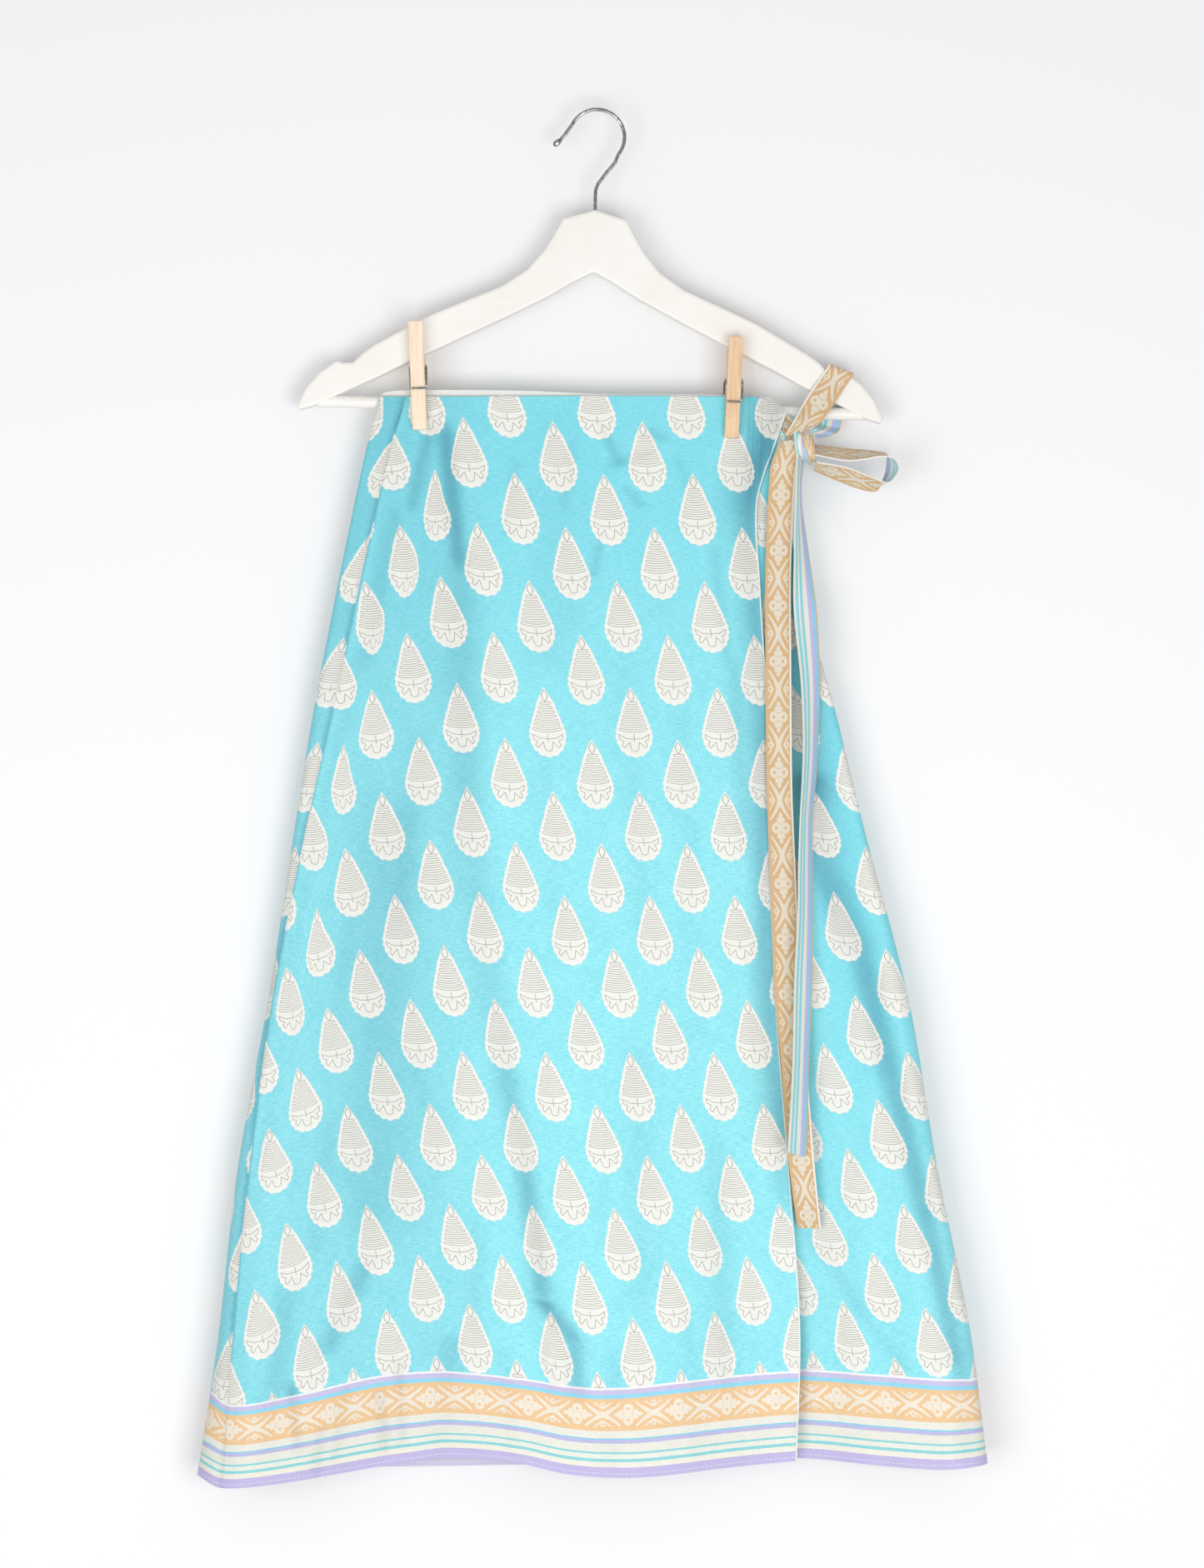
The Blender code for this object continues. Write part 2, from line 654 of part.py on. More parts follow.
def build_hanger(tilt, paint, steel):
    arm_top = ((0, -75), (24, -82), (31, -95), (38, -106.5), (50, -121), (69, -134), (98, -146.5))
    arm_top += ((123, -157.5), (163, -180), (172, -186.5), (180, -194.5), (187, -194.7), (192, -193))
    arm_end = ((204, -201.5), (214, -213), (221, -227), (220, -231.5), (207, -227.5), (191, -219.5))
    arm_bottom = ((160, -205), (138, -193.5), (97, -173.5), (65.5, -158), (34, -141.7))
    arm_bottom += ((15, -130), (0, -122))
    right = arm_top + arm_end + arm_bottom
    left = tuple((-x, z) for x, z in reversed(right[1:-1]))
    body = add_slab("hanger_body", right + left, HANGER_THICK, "y", paint, tilt, HANGER_ROUND)
    bar_cut = add_cutter(
        "bar_hole", BAR_RADIUS + FIT, 2 * (BAR_HALF_LENGTH + FIT), (0, 0, BAR_HEIGHT), math.pi / 2, tilt
    )
    shank_cut = add_cutter(
        "shank_hole", HOOK_WIRE + FIT, 2 * (SHANK_IN_BODY + FIT), (0, 0, -75), 0, tilt
    )
    cut(body, bar_cut)
    cut(body, shank_cut)

    ends = [Vector((side * BAR_HALF_LENGTH, 0, BAR_HEIGHT)) for side in (-1, 1)]
    add_tube("hanger_bar", ends, [BAR_RADIUS] * 2, 16, paint, tilt)

    wire = hook_path()
    tip = [Vector((-20.9, 0, -13.4)), Vector((-23.5, 0, -17.3)), Vector((-27.0, 0, -21.8))]
    ball = [Vector((-28.4, 0, -23.3)), Vector((-29.6, 0, -24.3))]
    ball += [Vector((-31.2, 0, -25.7)), Vector((-32.4, 0, -26.7))]
    wire = [point for point in wire if not (point.x < -17 and point.z < -12)] + tip + ball
    radii = [HOOK_WIRE] * (len(wire) - 4) + [HOOK_BALL * 0.85, HOOK_BALL, HOOK_BALL, HOOK_BALL * 0.5]
    add_tube("hanger_hook", wire, radii, 8, steel, tilt)


def peg_front_outline(peg):
    """Side view of the leg in front of the cloth: straight inside, tapered to the jaw."""
    face, back = PEG_FACE_Y, PEG_FACE_Y - PEG_THICK
    return (
        (face, -peg.bottom),
        (face, 30),
        (face - 2.2, peg.top),
        (back - 0.8, peg.top),
        (back - 0.8, 18),
        (back, -6),
        (face - 4.4, -peg.bottom),
    )


def peg_back_outline(peg):
    """Side view of the leg behind the bar, with the round groove that grips it."""
    groove = []
    for step in range(7):
        turn = math.radians(-68 + 136 * step / 6)
        groove.append((GROOVE_RADIUS * math.cos(turn), GROOVE_RADIUS * math.sin(turn)))
    outer = ((15.6, peg.top), (14.6, 30), (12.6, 12), (10.2, -8), (6.4, 1.5 - peg.bottom))
    inner = ((4.0, peg.pivot - 9), (5.8, peg.pivot - 3), (6.9, 28), (8.6, peg.top))
    return ((1.0, 1.5 - peg.bottom), *groove, *inner, *outer)


def spring_path(peg):
    """One wire: over the front leg, down its side, three coils, and over the back leg."""
    side_x = PEG_WIDTH / 2 + FIT + SPRING_WIRE + 0.15
    cross_z = peg.pivot - 12.0
    front_y = PEG_FACE_Y - PEG_THICK - 0.8 - FIT - SPRING_WIRE
    back_y = 12.9 + FIT + SPRING_WIRE
    middle = Vector((0, (PEG_FACE_Y + 5.3) / 2, peg.pivot))

    def tangent(y, sign):
        away = Vector((0, y, cross_z + 1)) - middle
        bend = math.acos(SPRING_RADIUS / away.length)
        return math.atan2(away.z, away.y) + sign * bend

    start = tangent(front_y, -1) + 2 * math.pi
    end = tangent(back_y, 1) - 2 * math.pi * SPRING_TURNS
    steps = 8 * SPRING_TURNS + 3
    path = [Vector((-4.4, front_y, cross_z)), Vector((side_x - 1.2, front_y, cross_z))]
    path.append(Vector((side_x, front_y + 0.6, cross_z + 1.2)))
    for step in range(steps + 1):
        share = step / steps
        turn = blend(start, end, share)
        reach = Vector((0, math.cos(turn), math.sin(turn))) * SPRING_RADIUS
        path.append(middle + reach + Vector((blend(side_x, -side_x, share), 0, 0)))
    path.append(Vector((-side_x, back_y - 0.6, cross_z + 1.2)))
    path += [Vector((1.2 - side_x, back_y, cross_z)), Vector((4.4, back_y, cross_z))]
    return path


def build_peg(peg, steel):
    wood = material("Peg wood " + peg.side, peg.colour, 0.62)
    bar_z = BAR_HEIGHT - peg.x * math.tan(HANGER_TILT)
    frame = add_empty("peg_" + peg.side, (peg.x, 0, bar_z), -math.radians(peg.lean))
    for place, outline in (("front", peg_front_outline(peg)), ("back", peg_back_outline(peg))):
        add_slab(f"peg_{peg.side}_{place}", outline, PEG_WIDTH, "x", wood, frame, 0.5)
    wire = spring_path(peg)
    add_tube(f"peg_{peg.side}_spring", wire, [SPRING_WIRE] * len(wire), 6, steel, frame)


def build_skirt(silk):
    rows = row_heights(20)
    front_across = columns((0.05, 2), (0.11, 5), (0.89, 18), (1.0, 20))
    add_panel("front_panel", front_point, front_across, rows, silk)
    add_panel("back_panel", back_point, columns((BACK_TURN, 8), (0.3, 6), (1.0, 18)), rows, silk)
    add_panel("under_panel", under_point, columns((UNDER_TURN, 5), (0.3, 6), (1.0, 14)), rows, silk)


def build_ties(gold, striped):
    add_tie("tie_tail_gold", GOLD_TAIL, 2, gold)
    add_tie("tie_tail_striped", STRIPED_TAIL, 2, striped)
    add_tie("tie_loop_over_arm", LOOP_OVER_ARM, 3, gold)
    add_tie("tie_loop_right", LOOP_RIGHT, 3, gold)
    add_tie("tie_lead", TIE_LEAD, 3, striped)
    add_knot(striped)


def main():
    for old in list(bpy.data.objects):
        bpy.data.objects.remove(old)
    silk = material("Printed silk", (0.16, 0.69, 0.78), 0.55)
    gold = material("Tie gold face", (0.76, 0.48, 0.22), 0.6)
    striped = material("Tie striped face", (0.55, 0.72, 0.80), 0.6)
    paint = material("White paint", (0.90, 0.89, 0.86), 0.45)
    steel = material("Steel wire", (0.62, 0.62, 0.64), 0.25, 1.0)

    tilt = add_empty("hanger_tilt", (0, 0, 0), HANGER_TILT)
    build_hanger(tilt, paint, steel)
    for peg in PEGS:
        build_peg(peg, steel)
    build_skirt(silk)
    build_ties(gold, striped)


main()
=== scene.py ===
# A printed silk wrap skirt with a tied bow, clipped to a white wooden hanger.
# The tables are in millimetres and the scene in metres; the skirt's front faces -Y.
import math

import bpy
import numpy as np
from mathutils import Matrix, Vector


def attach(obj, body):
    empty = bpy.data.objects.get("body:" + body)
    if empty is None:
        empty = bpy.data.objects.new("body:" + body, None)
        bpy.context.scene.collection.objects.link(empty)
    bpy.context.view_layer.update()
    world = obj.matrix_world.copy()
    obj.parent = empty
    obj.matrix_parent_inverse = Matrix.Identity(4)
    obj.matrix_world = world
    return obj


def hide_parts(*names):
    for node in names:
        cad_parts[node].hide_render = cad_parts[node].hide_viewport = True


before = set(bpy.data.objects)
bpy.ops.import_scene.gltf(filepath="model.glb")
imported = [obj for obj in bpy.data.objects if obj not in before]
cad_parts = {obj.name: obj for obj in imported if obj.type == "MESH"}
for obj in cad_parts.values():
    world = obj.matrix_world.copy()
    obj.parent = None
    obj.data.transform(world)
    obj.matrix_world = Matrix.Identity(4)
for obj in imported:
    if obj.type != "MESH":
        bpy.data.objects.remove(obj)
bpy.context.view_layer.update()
print("the frame is loaded")

# Camera, light, wall and floor
studio = {
    "eye": (3.4, -2960.0, -508.0),
    "lens": 90.0,
    "filmHeight": 36.0,
    "wallAt": 20.0,
    "floorAt": -1150.0,
    "skyStrength": 0.54,
    "aim": (0, 0, -520),
    "keyPlace": (700, -2250, -1050),
    "keySize": 1.2,
    "keyWatts": 21.0,
    "fillPlace": (-1100, -2200, -1000),
    "fillSize": 1.5,
    "fillWatts": 18.5,
}


def tint(red, green, blue):
    # a colour as the eye sees it, 0 to 255, made linear
    parts = [part / 255 for part in (red, green, blue)]
    return tuple(((p + 0.055) / 1.055) ** 2.4 if p > 0.04 else p / 12.92 for p in parts) + (1.0,)


def metres(x, y, z):
    return Vector((x, y, z)) * 0.001


def lookAt(thing, target):
    direction = metres(*target) - thing.location
    thing.rotation_euler = direction.to_track_quat("-Z", "Y").to_euler()


def buildStudio():
    bpy.ops.object.camera_add(location=metres(*studio["eye"]))
    eye = bpy.context.object
    eye.rotation_euler = (math.pi / 2, 0, 0)
    eye.data.sensor_fit = "VERTICAL"
    eye.data.sensor_height = studio["filmHeight"]
    eye.data.lens = studio["lens"]
    eye.data.clip_end = 50
    bpy.context.scene.camera = eye
    for name in ("key", "fill"):
        bpy.ops.object.light_add(type="AREA", location=metres(*studio[name + "Place"]))
        light = bpy.context.object
        light.data.size = studio[name + "Size"]
        light.data.energy = studio[name + "Watts"]
        lookAt(light, studio["aim"])
    world = bpy.context.scene.world or bpy.data.worlds.new("Studio")
    bpy.context.scene.world = world
    world.use_nodes = True
    sky = world.node_tree.nodes["Background"]
    sky.inputs["Color"].default_value = (1.0, 0.995, 1.0, 1.0)
    sky.inputs["Strength"].default_value = studio["skyStrength"]
    bpy.context.scene.view_settings.view_transform = "Standard"


def buildBackdrop():
    paint = bpy.data.materials.new("Pale studio paper")
    paint.use_nodes = True
    tree = paint.node_tree
    shader = tree.nodes["Principled BSDF"]
    shader.inputs["Base Color"].default_value = tint(246, 246, 247)
    shader.inputs["Roughness"].default_value = 0.9
    clear = tree.nodes.new("ShaderNodeBsdfTransparent")
    behind = tree.nodes.new("ShaderNodeNewGeometry")
    mix = tree.nodes.new("ShaderNodeMixShader")
    ray = tree.nodes.new("ShaderNodeLightPath").outputs
    bounced = calc(tree, "MAXIMUM", ray["Is Diffuse Ray"], ray["Is Shadow Ray"])
    # seen from behind it is clear, and it lets light through to the skirt's back
    tree.links.new(calc(tree, "MAXIMUM", behind.outputs["Backfacing"], bounced), mix.inputs["Fac"])
    tree.links.new(shader.outputs[0], mix.inputs[1])
    tree.links.new(clear.outputs[0], mix.inputs[2])
    tree.links.new(mix.outputs[0], tree.nodes["Material Output"].inputs["Surface"])
    wallY, floorZ = studio["wallAt"], studio["floorAt"]
    bpy.ops.mesh.primitive_plane_add(size=4.0, location=metres(0, wallY - 2000, floorZ))
    floor = bpy.context.object
    floor.name = "floor"
    bpy.ops.mesh.primitive_plane_add(
        size=4.0, location=metres(0, wallY, floorZ + 2000), rotation=(math.pi / 2, 0, 0)
    )
    wall = bpy.context.object
    wall.name = "wall"
    for paper in (floor, wall):
        paper.data.materials.append(paint)


# Small helpers for material nodes
def feed(tree, value, socket):
    # a socket takes either another node's output or a plain value
    if isinstance(value, bpy.types.NodeSocket):
        tree.links.new(value, socket)
    else:
        socket.default_value = value


def calc(tree, kind, *values):
    node = tree.nodes.new("ShaderNodeMath")
    node.operation = kind
    for value, socket in zip(values, node.inputs):
        feed(tree, value, socket)
    return node.outputs[0]


def plus(tree, first, second):
    return calc(tree, "ADD", first, second)


def minus(tree, first, second):
    return calc(tree, "SUBTRACT", first, second)


def times(tree, first, second):
    return calc(tree, "MULTIPLY", first, second)


def over(tree, first, second):
    return calc(tree, "DIVIDE", first, second)


def reach(tree, first, second):
    # the long side of a right triangle
    return calc(tree, "SQRT", plus(tree, times(tree, first, first), times(tree, second, second)))


def ease(tree, value, low, high):
    # rises smoothly from 0 at low to 1 at high
    node = tree.nodes.new("ShaderNodeMapRange")
    node.interpolation_type = "SMOOTHSTEP"
    feed(tree, value, node.inputs["Value"])
    node.inputs["From Min"].default_value = low
    node.inputs["From Max"].default_value = high
    return node.outputs["Result"]


def thinLine(tree, distance, full, gone):
    # 1 on the line, 0 away from it
    away = calc(tree, "ABSOLUTE", distance)
    return minus(tree, 1.0, ease(tree, away, full, gone))


def most(tree, *masks):
    # the strongest of several masks at each place
    found = masks[0]
    for mask in masks[1:]:
        found = calc(tree, "MAXIMUM", found, mask)
    return found


def join(tree, x, y, z=0.0):
    node = tree.nodes.new("ShaderNodeCombineXYZ")
    for value, socket in zip((x, y, z), node.inputs):
        feed(tree, value, socket)
    return node.outputs[0]


def vectorCalc(tree, kind, first, second, out="Vector"):
    node = tree.nodes.new("ShaderNodeVectorMath")
    node.operation = kind
    feed(tree, first, node.inputs[0])
    feed(tree, second, node.inputs[1])
    return node.outputs[out]


def grains(tree, place, size, detail=2.0, rough=0.5):
    node = tree.nodes.new("ShaderNodeTexNoise")
    feed(tree, place, node.inputs["Vector"])
    node.inputs["Scale"].default_value = size
    node.inputs["Detail"].default_value = detail
    node.inputs["Roughness"].default_value = rough
    return node.outputs["Fac"]


def streaks(tree, first, second, rates, third=0.0, detail=3.0, rough=0.5):
    # noise drawn out one way: the lower a rate, the longer the streak
    place = join(tree, times(tree, first, rates[0]), times(tree, second, rates[1]), third)
    return grains(tree, place, 1.0, detail, rough)


def blendTint(tree, share, first, second, kind="MIX"):
    node = tree.nodes.new("ShaderNodeMix")
    node.data_type = "RGBA"
    node.blend_type = kind
    feed(tree, share, node.inputs[0])
    feed(tree, first, node.inputs[6])
    feed(tree, second, node.inputs[7])
    return node.outputs[2]


def bands(tree, share, stops):
    # stripes with hard edges, each starting at its own share
    node = tree.nodes.new("ShaderNodeValToRGB")
    feed(tree, share, node.inputs["Fac"])
    ramp = node.color_ramp
    ramp.interpolation = "CONSTANT"
    ramp.elements[0].position = stops[0][0]
    ramp.elements[0].color = stops[0][1]
    ramp.elements.remove(ramp.elements[1])
    for place, colour in stops[1:]:
        ramp.elements.new(place).color = colour
    return node.outputs["Color"]


def newGroup(name, takes, gives):
    tree = bpy.data.node_groups.new(name, "ShaderNodeTree")
    for label in takes:
        tree.interface.new_socket(name=label, in_out="INPUT", socket_type="NodeSocketFloat")
    for label, kind in gives:
        tree.interface.new_socket(name=label, in_out="OUTPUT", socket_type="NodeSocket" + kind)
    start = tree.nodes.new("NodeGroupInput")
    end = tree.nodes.new("NodeGroupOutput")
    return tree, start.outputs, end.inputs


def useGroup(tree, group, **values):
    node = tree.nodes.new("ShaderNodeGroup")
    node.node_tree = group
    for name, value in values.items():
        feed(tree, value, node.inputs[name])
    return node.outputs


def readMap(tree, name):
    node = tree.nodes.new("ShaderNodeUVMap")
    node.uv_map = name
    parts = tree.nodes.new("ShaderNodeSeparateXYZ")
    tree.links.new(node.outputs[0], parts.inputs[0])
    return parts.outputs[0], parts.outputs[1]


def readNumber(tree, name):
    node = tree.nodes.new("ShaderNodeAttribute")
    node.attribute_name = name
    return node.outputs["Fac"]


def newMaterial(name, roughness, sheen=0.0, metallic=0.0):
    made = bpy.data.materials.new(name)
    made.use_nodes = True
    shader = made.node_tree.nodes["Principled BSDF"]
    shader.inputs["Roughness"].default_value = roughness
    shader.inputs["Sheen Weight"].default_value = sheen
    shader.inputs["Metallic"].default_value = metallic
    return made, made.node_tree, shader


def addBump(tree, shader, height, strength, distance):
    node = tree.nodes.new("ShaderNodeBump")
    node.inputs["Strength"].default_value = strength
    node.inputs["Distance"].default_value = distance
    tree.links.new(height, node.inputs["Height"])
    tree.links.new(node.outputs[0], shader.inputs["Normal"])


# The printed leaf: one drop shape with a scalloped rim and a fine line drawing, in millimetres
leaf = {
    "columnPitch": 63.5,
    "rowPitch": 39.2,
    "rowStretch": 1.035,
    "tip": 27.0,
    "widest": -9.0,
    "halfWidth": 13.4,
    "foot": 18.0,
    "profile": (
        (0.0, 0.0), (0.03, 0.06), (0.08, 0.17), (0.185, 0.385), (0.281, 0.505), (0.402, 0.67),
        (0.482, 0.77), (0.563, 0.86), (0.643, 0.935), (0.723, 0.95), (0.8, 0.92), (1.0, 0.3),
    ),
    "profileLength": 54.0,
    "profileWidth": 14.15,
    "flankSlope": 0.93,
    "roundness": 2.1,
    "lobes": 9.0,
    "lobeLevel": 0.62,
    "lobeSize": (0.35, 0.7),
    "lobeGrows": (2.0, -12.0),
    "haloFrom": (-0.9, -0.1),
    "insideFrom": (1.9, 2.5),
    "ribPitch": 3.58,
    "ribStart": 0.47,
    "ribHalf": 0.92,
    "ribSag": 0.017,
    "ribMargin": 3.1,
    "ribsTop": (16.8, 16.6),
    "ribsBottom": (-8.6, -8.4),
    "lineFull": 0.13,
    "lineGone": 0.38,
    # the bracts and petals at the foot, drawn for one side
    "bract": (
        (0.0, -13.0), (6.2, -12.4), (11.2, -9.3), (10.7, -13.0), (7.8, -14.7), (9.3, -18.0), (7.7, -19.9),
        (5.3, -17.2),
    ),
    "petals": ((5.3, -17.2), (3.5, -15.4), (3.0, -18.6), (2.3, -21.7), (0.0, -22.7)),
    "stem": ((0.0, -9.2), (0.0, -15.2)),
    # the small drop near the tip
    "dropAt": 20.6,
    "dropHalf": (2.2, 4.4),
    "dropPoint": 1.6,
    "dropLine": (0.09, 0.22),
}


def drawn(tree, place, points):
    # how far a place is from a line drawn through some points
    nearest = None
    for start, end in zip(points, points[1:]):
        run = (end[0] - start[0], end[1] - start[1], 0.0)
        square = run[0] ** 2 + run[1] ** 2
        fromStart = vectorCalc(tree, "SUBTRACT", place, (start[0], start[1], 0.0))
        unit = tuple(part / square for part in run)
        share = vectorCalc(tree, "DOT_PRODUCT", fromStart, unit, out="Value")
        share = calc(tree, "MINIMUM", calc(tree, "MAXIMUM", share, 0.0), 1.0)
        reached = vectorCalc(tree, "MULTIPLY", join(tree, share, share, share), run)
        away = vectorCalc(tree, "DISTANCE", fromStart, reached, out="Value")
        nearest = away if nearest is None else calc(tree, "MINIMUM", nearest, away)
    return nearest


def makeLeafGroup():
    tree, given, out = newGroup(
        "Leaf motif", ("Column", "Row"),
        (("Shape", "Float"), ("Line", "Float"), ("Inside", "Float"), ("Halo", "Float")),
    )
    # leaves stand in columns, every second one half a step lower
    column, row = given["Column"], given["Row"]
    half = calc(tree, "ROUND", times(tree, column, 2.0))
    x = times(tree, minus(tree, column, times(tree, half, 0.5)), leaf["columnPitch"])
    odd = calc(tree, "FLOORED_MODULO", half, 2.0)
    turn = calc(tree, "FLOORED_MODULO", plus(tree, plus(tree, row, odd), 1.0), 2.0)
    y = times(tree, minus(tree, turn, 1.0), -leaf["rowPitch"] * leaf["rowStretch"])
    wide = calc(tree, "ABSOLUTE", x)

    # the upper flanks follow the profile
    fromTip = over(tree, minus(tree, leaf["tip"], y), leaf["profileLength"])
    curve = tree.nodes.new("ShaderNodeFloatCurve")
    points = curve.mapping.curves[0].points
    points[0].location = leaf["profile"][0]
    points[1].location = leaf["profile"][-1]
    for place in leaf["profile"][1:-1]:
        points.new(*place)
    curve.mapping.update()
    tree.links.new(fromTip, curve.inputs["Value"])
    width = times(tree, curve.outputs[0], leaf["profileWidth"])
    upper = times(tree, minus(tree, width, wide), leaf["flankSlope"])

    # the foot is a rounded box
    down = minus(tree, leaf["widest"], y)
    across = calc(tree, "POWER", over(tree, wide, leaf["halfWidth"]), leaf["roundness"])
    along = calc(tree, "MAXIMUM", over(tree, down, leaf["foot"]), 0.001)
    along = calc(tree, "POWER", along, leaf["roundness"])
    spread = calc(tree, "POWER", plus(tree, across, along), 1 / leaf["roundness"])
    length = reach(tree, x, down)
    lower = minus(tree, over(tree, length, calc(tree, "MAXIMUM", spread, 0.001)), length)
    below = calc(tree, "GREATER_THAN", down, 0.0)
    inside = plus(tree, times(tree, lower, below), times(tree, upper, minus(tree, 1.0, below)))

    # a scalloped rim, whose lobes grow towards the foot
    angle = calc(tree, "ARCTAN2", x, down)
    lobes = calc(tree, "ABSOLUTE", calc(tree, "COSINE", times(tree, angle, leaf["lobes"])))
    small, more = leaf["lobeSize"]
    size = plus(tree, small, times(tree, more, ease(tree, y, *leaf["lobeGrows"])))
    rim = plus(tree, inside, times(tree, size, minus(tree, lobes, leaf["lobeLevel"])))
    onLeaf = times(tree, ease(tree, rim, -0.15, 0.15), calc(tree, "GREATER_THAN", fromTip, 0.0))
    tree.links.new(onLeaf, out["Shape"])
    tree.links.new(ease(tree, rim, *leaf["haloFrom"]), out["Halo"])
    tree.links.new(times(tree, ease(tree, inside, *leaf["insideFrom"]), onLeaf), out["Inside"])

    # sagging ribs with round ends
    pitch = leaf["ribPitch"]
    sagged = minus(tree, y, times(tree, leaf["ribSag"], times(tree, x, x)))
    counted = plus(tree, over(tree, minus(tree, sagged, leaf["ribStart"]), pitch), 0.5)
    ribY = times(tree, minus(tree, calc(tree, "FRACT", counted), 0.5), pitch)
    ribEnd = calc(tree, "MAXIMUM", minus(tree, wide, minus(tree, width, leaf["ribMargin"])), 0.0)
    ribReach = reach(tree, ribEnd, ribY)
    inkLine = leaf["lineFull"], leaf["lineGone"]
    ribs = thinLine(tree, minus(tree, ribReach, leaf["ribHalf"]), *inkLine)
    ribs = times(tree, ribs, ease(tree, sagged, *leaf["ribsBottom"]))
    ribs = times(tree, ribs, ease(tree, sagged, *leaf["ribsTop"]))

    place = join(tree, wide, y)
    foot = [drawn(tree, place, leaf[part]) for part in ("bract", "petals", "stem")]
    foot = calc(tree, "MINIMUM", calc(tree, "MINIMUM", foot[0], foot[1]), foot[2])
    foot = thinLine(tree, foot, *inkLine)
    halfWide, halfTall = leaf["dropHalf"]
    dropY = over(tree, calc(tree, "ABSOLUTE", minus(tree, y, leaf["dropAt"])), halfTall)
    drop = plus(tree, over(tree, wide, halfWide), calc(tree, "POWER", dropY, leaf["dropPoint"]))
    drop = times(tree, thinLine(tree, minus(tree, drop, 1.0), *leaf["dropLine"]), onLeaf)
    lines = most(tree, times(tree, most(tree, ribs, foot), ease(tree, inside, 0.9, 1.3)), drop)
    tree.links.new(lines, out["Line"])
    return tree


# The vine of the gold band, in millimetres from a flower's centre
vine = {
    "repeat": 38.2,
    "petal": 3.8,
    "petalHole": 1.2,
    "petalOut": 4.1,
    "stemRise": 8.3,
    "stemRun": 13.0,
    "stemBend": 1.35,
    "stemHalf": 1.75,
    "stemTaper": 0.08,
    "fleurOut": 8.8,
    "fleurHalf": (2.6, 2.0),
    "sideAt": (5.4, 1.5),
    "heartHalf": (4.6, 1.7),
    "ringUp": 7.2,
    "curlUp": 4.5,
    "curlSlope": 0.68,
}


def makeVineGroup():
    tree, given, out = newGroup("Vine", ("Along", "Across"), (("Mask", "Float"),))
    part = vine["repeat"] / 2
    slid = calc(tree, "FLOORED_MODULO", plus(tree, given["Along"], part), vine["repeat"])
    x = calc(tree, "ABSOLUTE", minus(tree, slid, part))
    y = calc(tree, "ABSOLUTE", given["Across"])
    cross = minus(tree, part, x)

    def diamond(a, b, half):
        # a rounded mask, full inside its two half sizes
        return ease(tree, plus(tree, over(tree, a, half[0]), over(tree, b, half[1])), 1.1, 0.9)

    bend = calc(tree, "POWER", over(tree, cross, vine["stemRun"]), vine["stemBend"])
    away = times(tree, minus(tree, y, times(tree, vine["stemRise"], bend)), 0.82)
    stemWidth = minus(tree, vine["stemHalf"], times(tree, vine["stemTaper"], cross))
    stems = minus(tree, calc(tree, "ABSOLUTE", away), stemWidth)
    stems = times(tree, ease(tree, stems, 0.18, -0.18), ease(tree, cross, 13.6, 13.0))
    petal = reach(tree, x, minus(tree, y, vine["petalOut"]))
    petals = times(
        tree, ease(tree, petal, vine["petal"] + 0.2, vine["petal"] - 0.2),
        ease(tree, petal, vine["petalHole"] - 0.2, vine["petalHole"] + 0.2),
    )
    fleur = diamond(calc(tree, "ABSOLUTE", minus(tree, x, vine["fleurOut"])), y, vine["fleurHalf"])
    sideX, sideY = vine["sideAt"]
    side = ease(tree, reach(tree, minus(tree, x, sideX), minus(tree, y, sideY)), 2.3, 1.9)
    heart = diamond(x, y, vine["heartHalf"])
    ring = reach(tree, cross, minus(tree, y, vine["ringUp"]))
    ring = times(tree, ease(tree, ring, 2.1, 1.8), ease(tree, ring, 0.7, 1.0))
    curl = minus(tree, y, plus(tree, vine["curlUp"], times(tree, vine["curlSlope"], cross)))
    curl = thinLine(tree, times(tree, curl, 0.83), 0.4, 0.7)
    curl = times(tree, curl, ease(tree, cross, 6.8, 6.2))
    tree.links.new(most(tree, stems, petals, fleur, side, heart, ring, curl), out["Mask"])
    return tree


# Border stripes from the top down: depth in millimetres at which each begins, and its colour
border = {
    "vine": tint(238, 229, 213),
    "stripes": (
        (0.0, tint(243, 241, 240)),
        (1.2, tint(200, 194, 229)),
        (4.7, tint(144, 215, 238)),
        (8.1, tint(237, 198, 149)),
        (31.8, tint(233, 232, 222)),
        (37.2, tint(138, 208, 230)),
        (38.6, tint(188, 186, 226)),
        (41.1, tint(231, 231, 220)),
        (47.3, tint(139, 212, 216)),
        (49.2, tint(232, 234, 222)),
        (52.7, tint(139, 212, 216)),
        (55.0, tint(238, 235, 222)),
        (58.8, tint(192, 184, 226)),
    ),
    "goldCentre": 19.95,
    "goldHalf": (11.2, 11.6),
    "wobble": 0.5,
}


def makeBorderGroup(vineGroup):
    tree, given, out = newGroup("Border", ("Along", "Depth"), (("Colour", "Color"), ("Share", "Float")))
    depth = given["Depth"]
    uneven = grains(tree, join(tree, given["Along"], depth), 0.35)
    shifted = plus(tree, depth, times(tree, minus(tree, uneven, 0.5), border["wobble"]))
    stops = [(place / 100, colour) for place, colour in border["stripes"]]
    stripes = bands(tree, over(tree, shifted, 100.0), stops)
    across = minus(tree, depth, border["goldCentre"])
    mask = useGroup(tree, vineGroup, Along=given["Along"], Across=across)["Mask"]
    mask = times(tree, mask, thinLine(tree, across, *border["goldHalf"]))
    tree.links.new(blendTint(tree, mask, stripes, border["vine"]), out["Colour"])
    tree.links.new(ease(tree, shifted, -0.1, 0.1), out["Share"])
    return tree


# How fast each thread of the slubby silk changes along and across it, for each millimetre
weaveRates = {"weft": (0.16, 1.9), "warp": (1.9, 0.2), "cloud": (0.05, 0.05), "crinkle": (0.11, 0.045)}


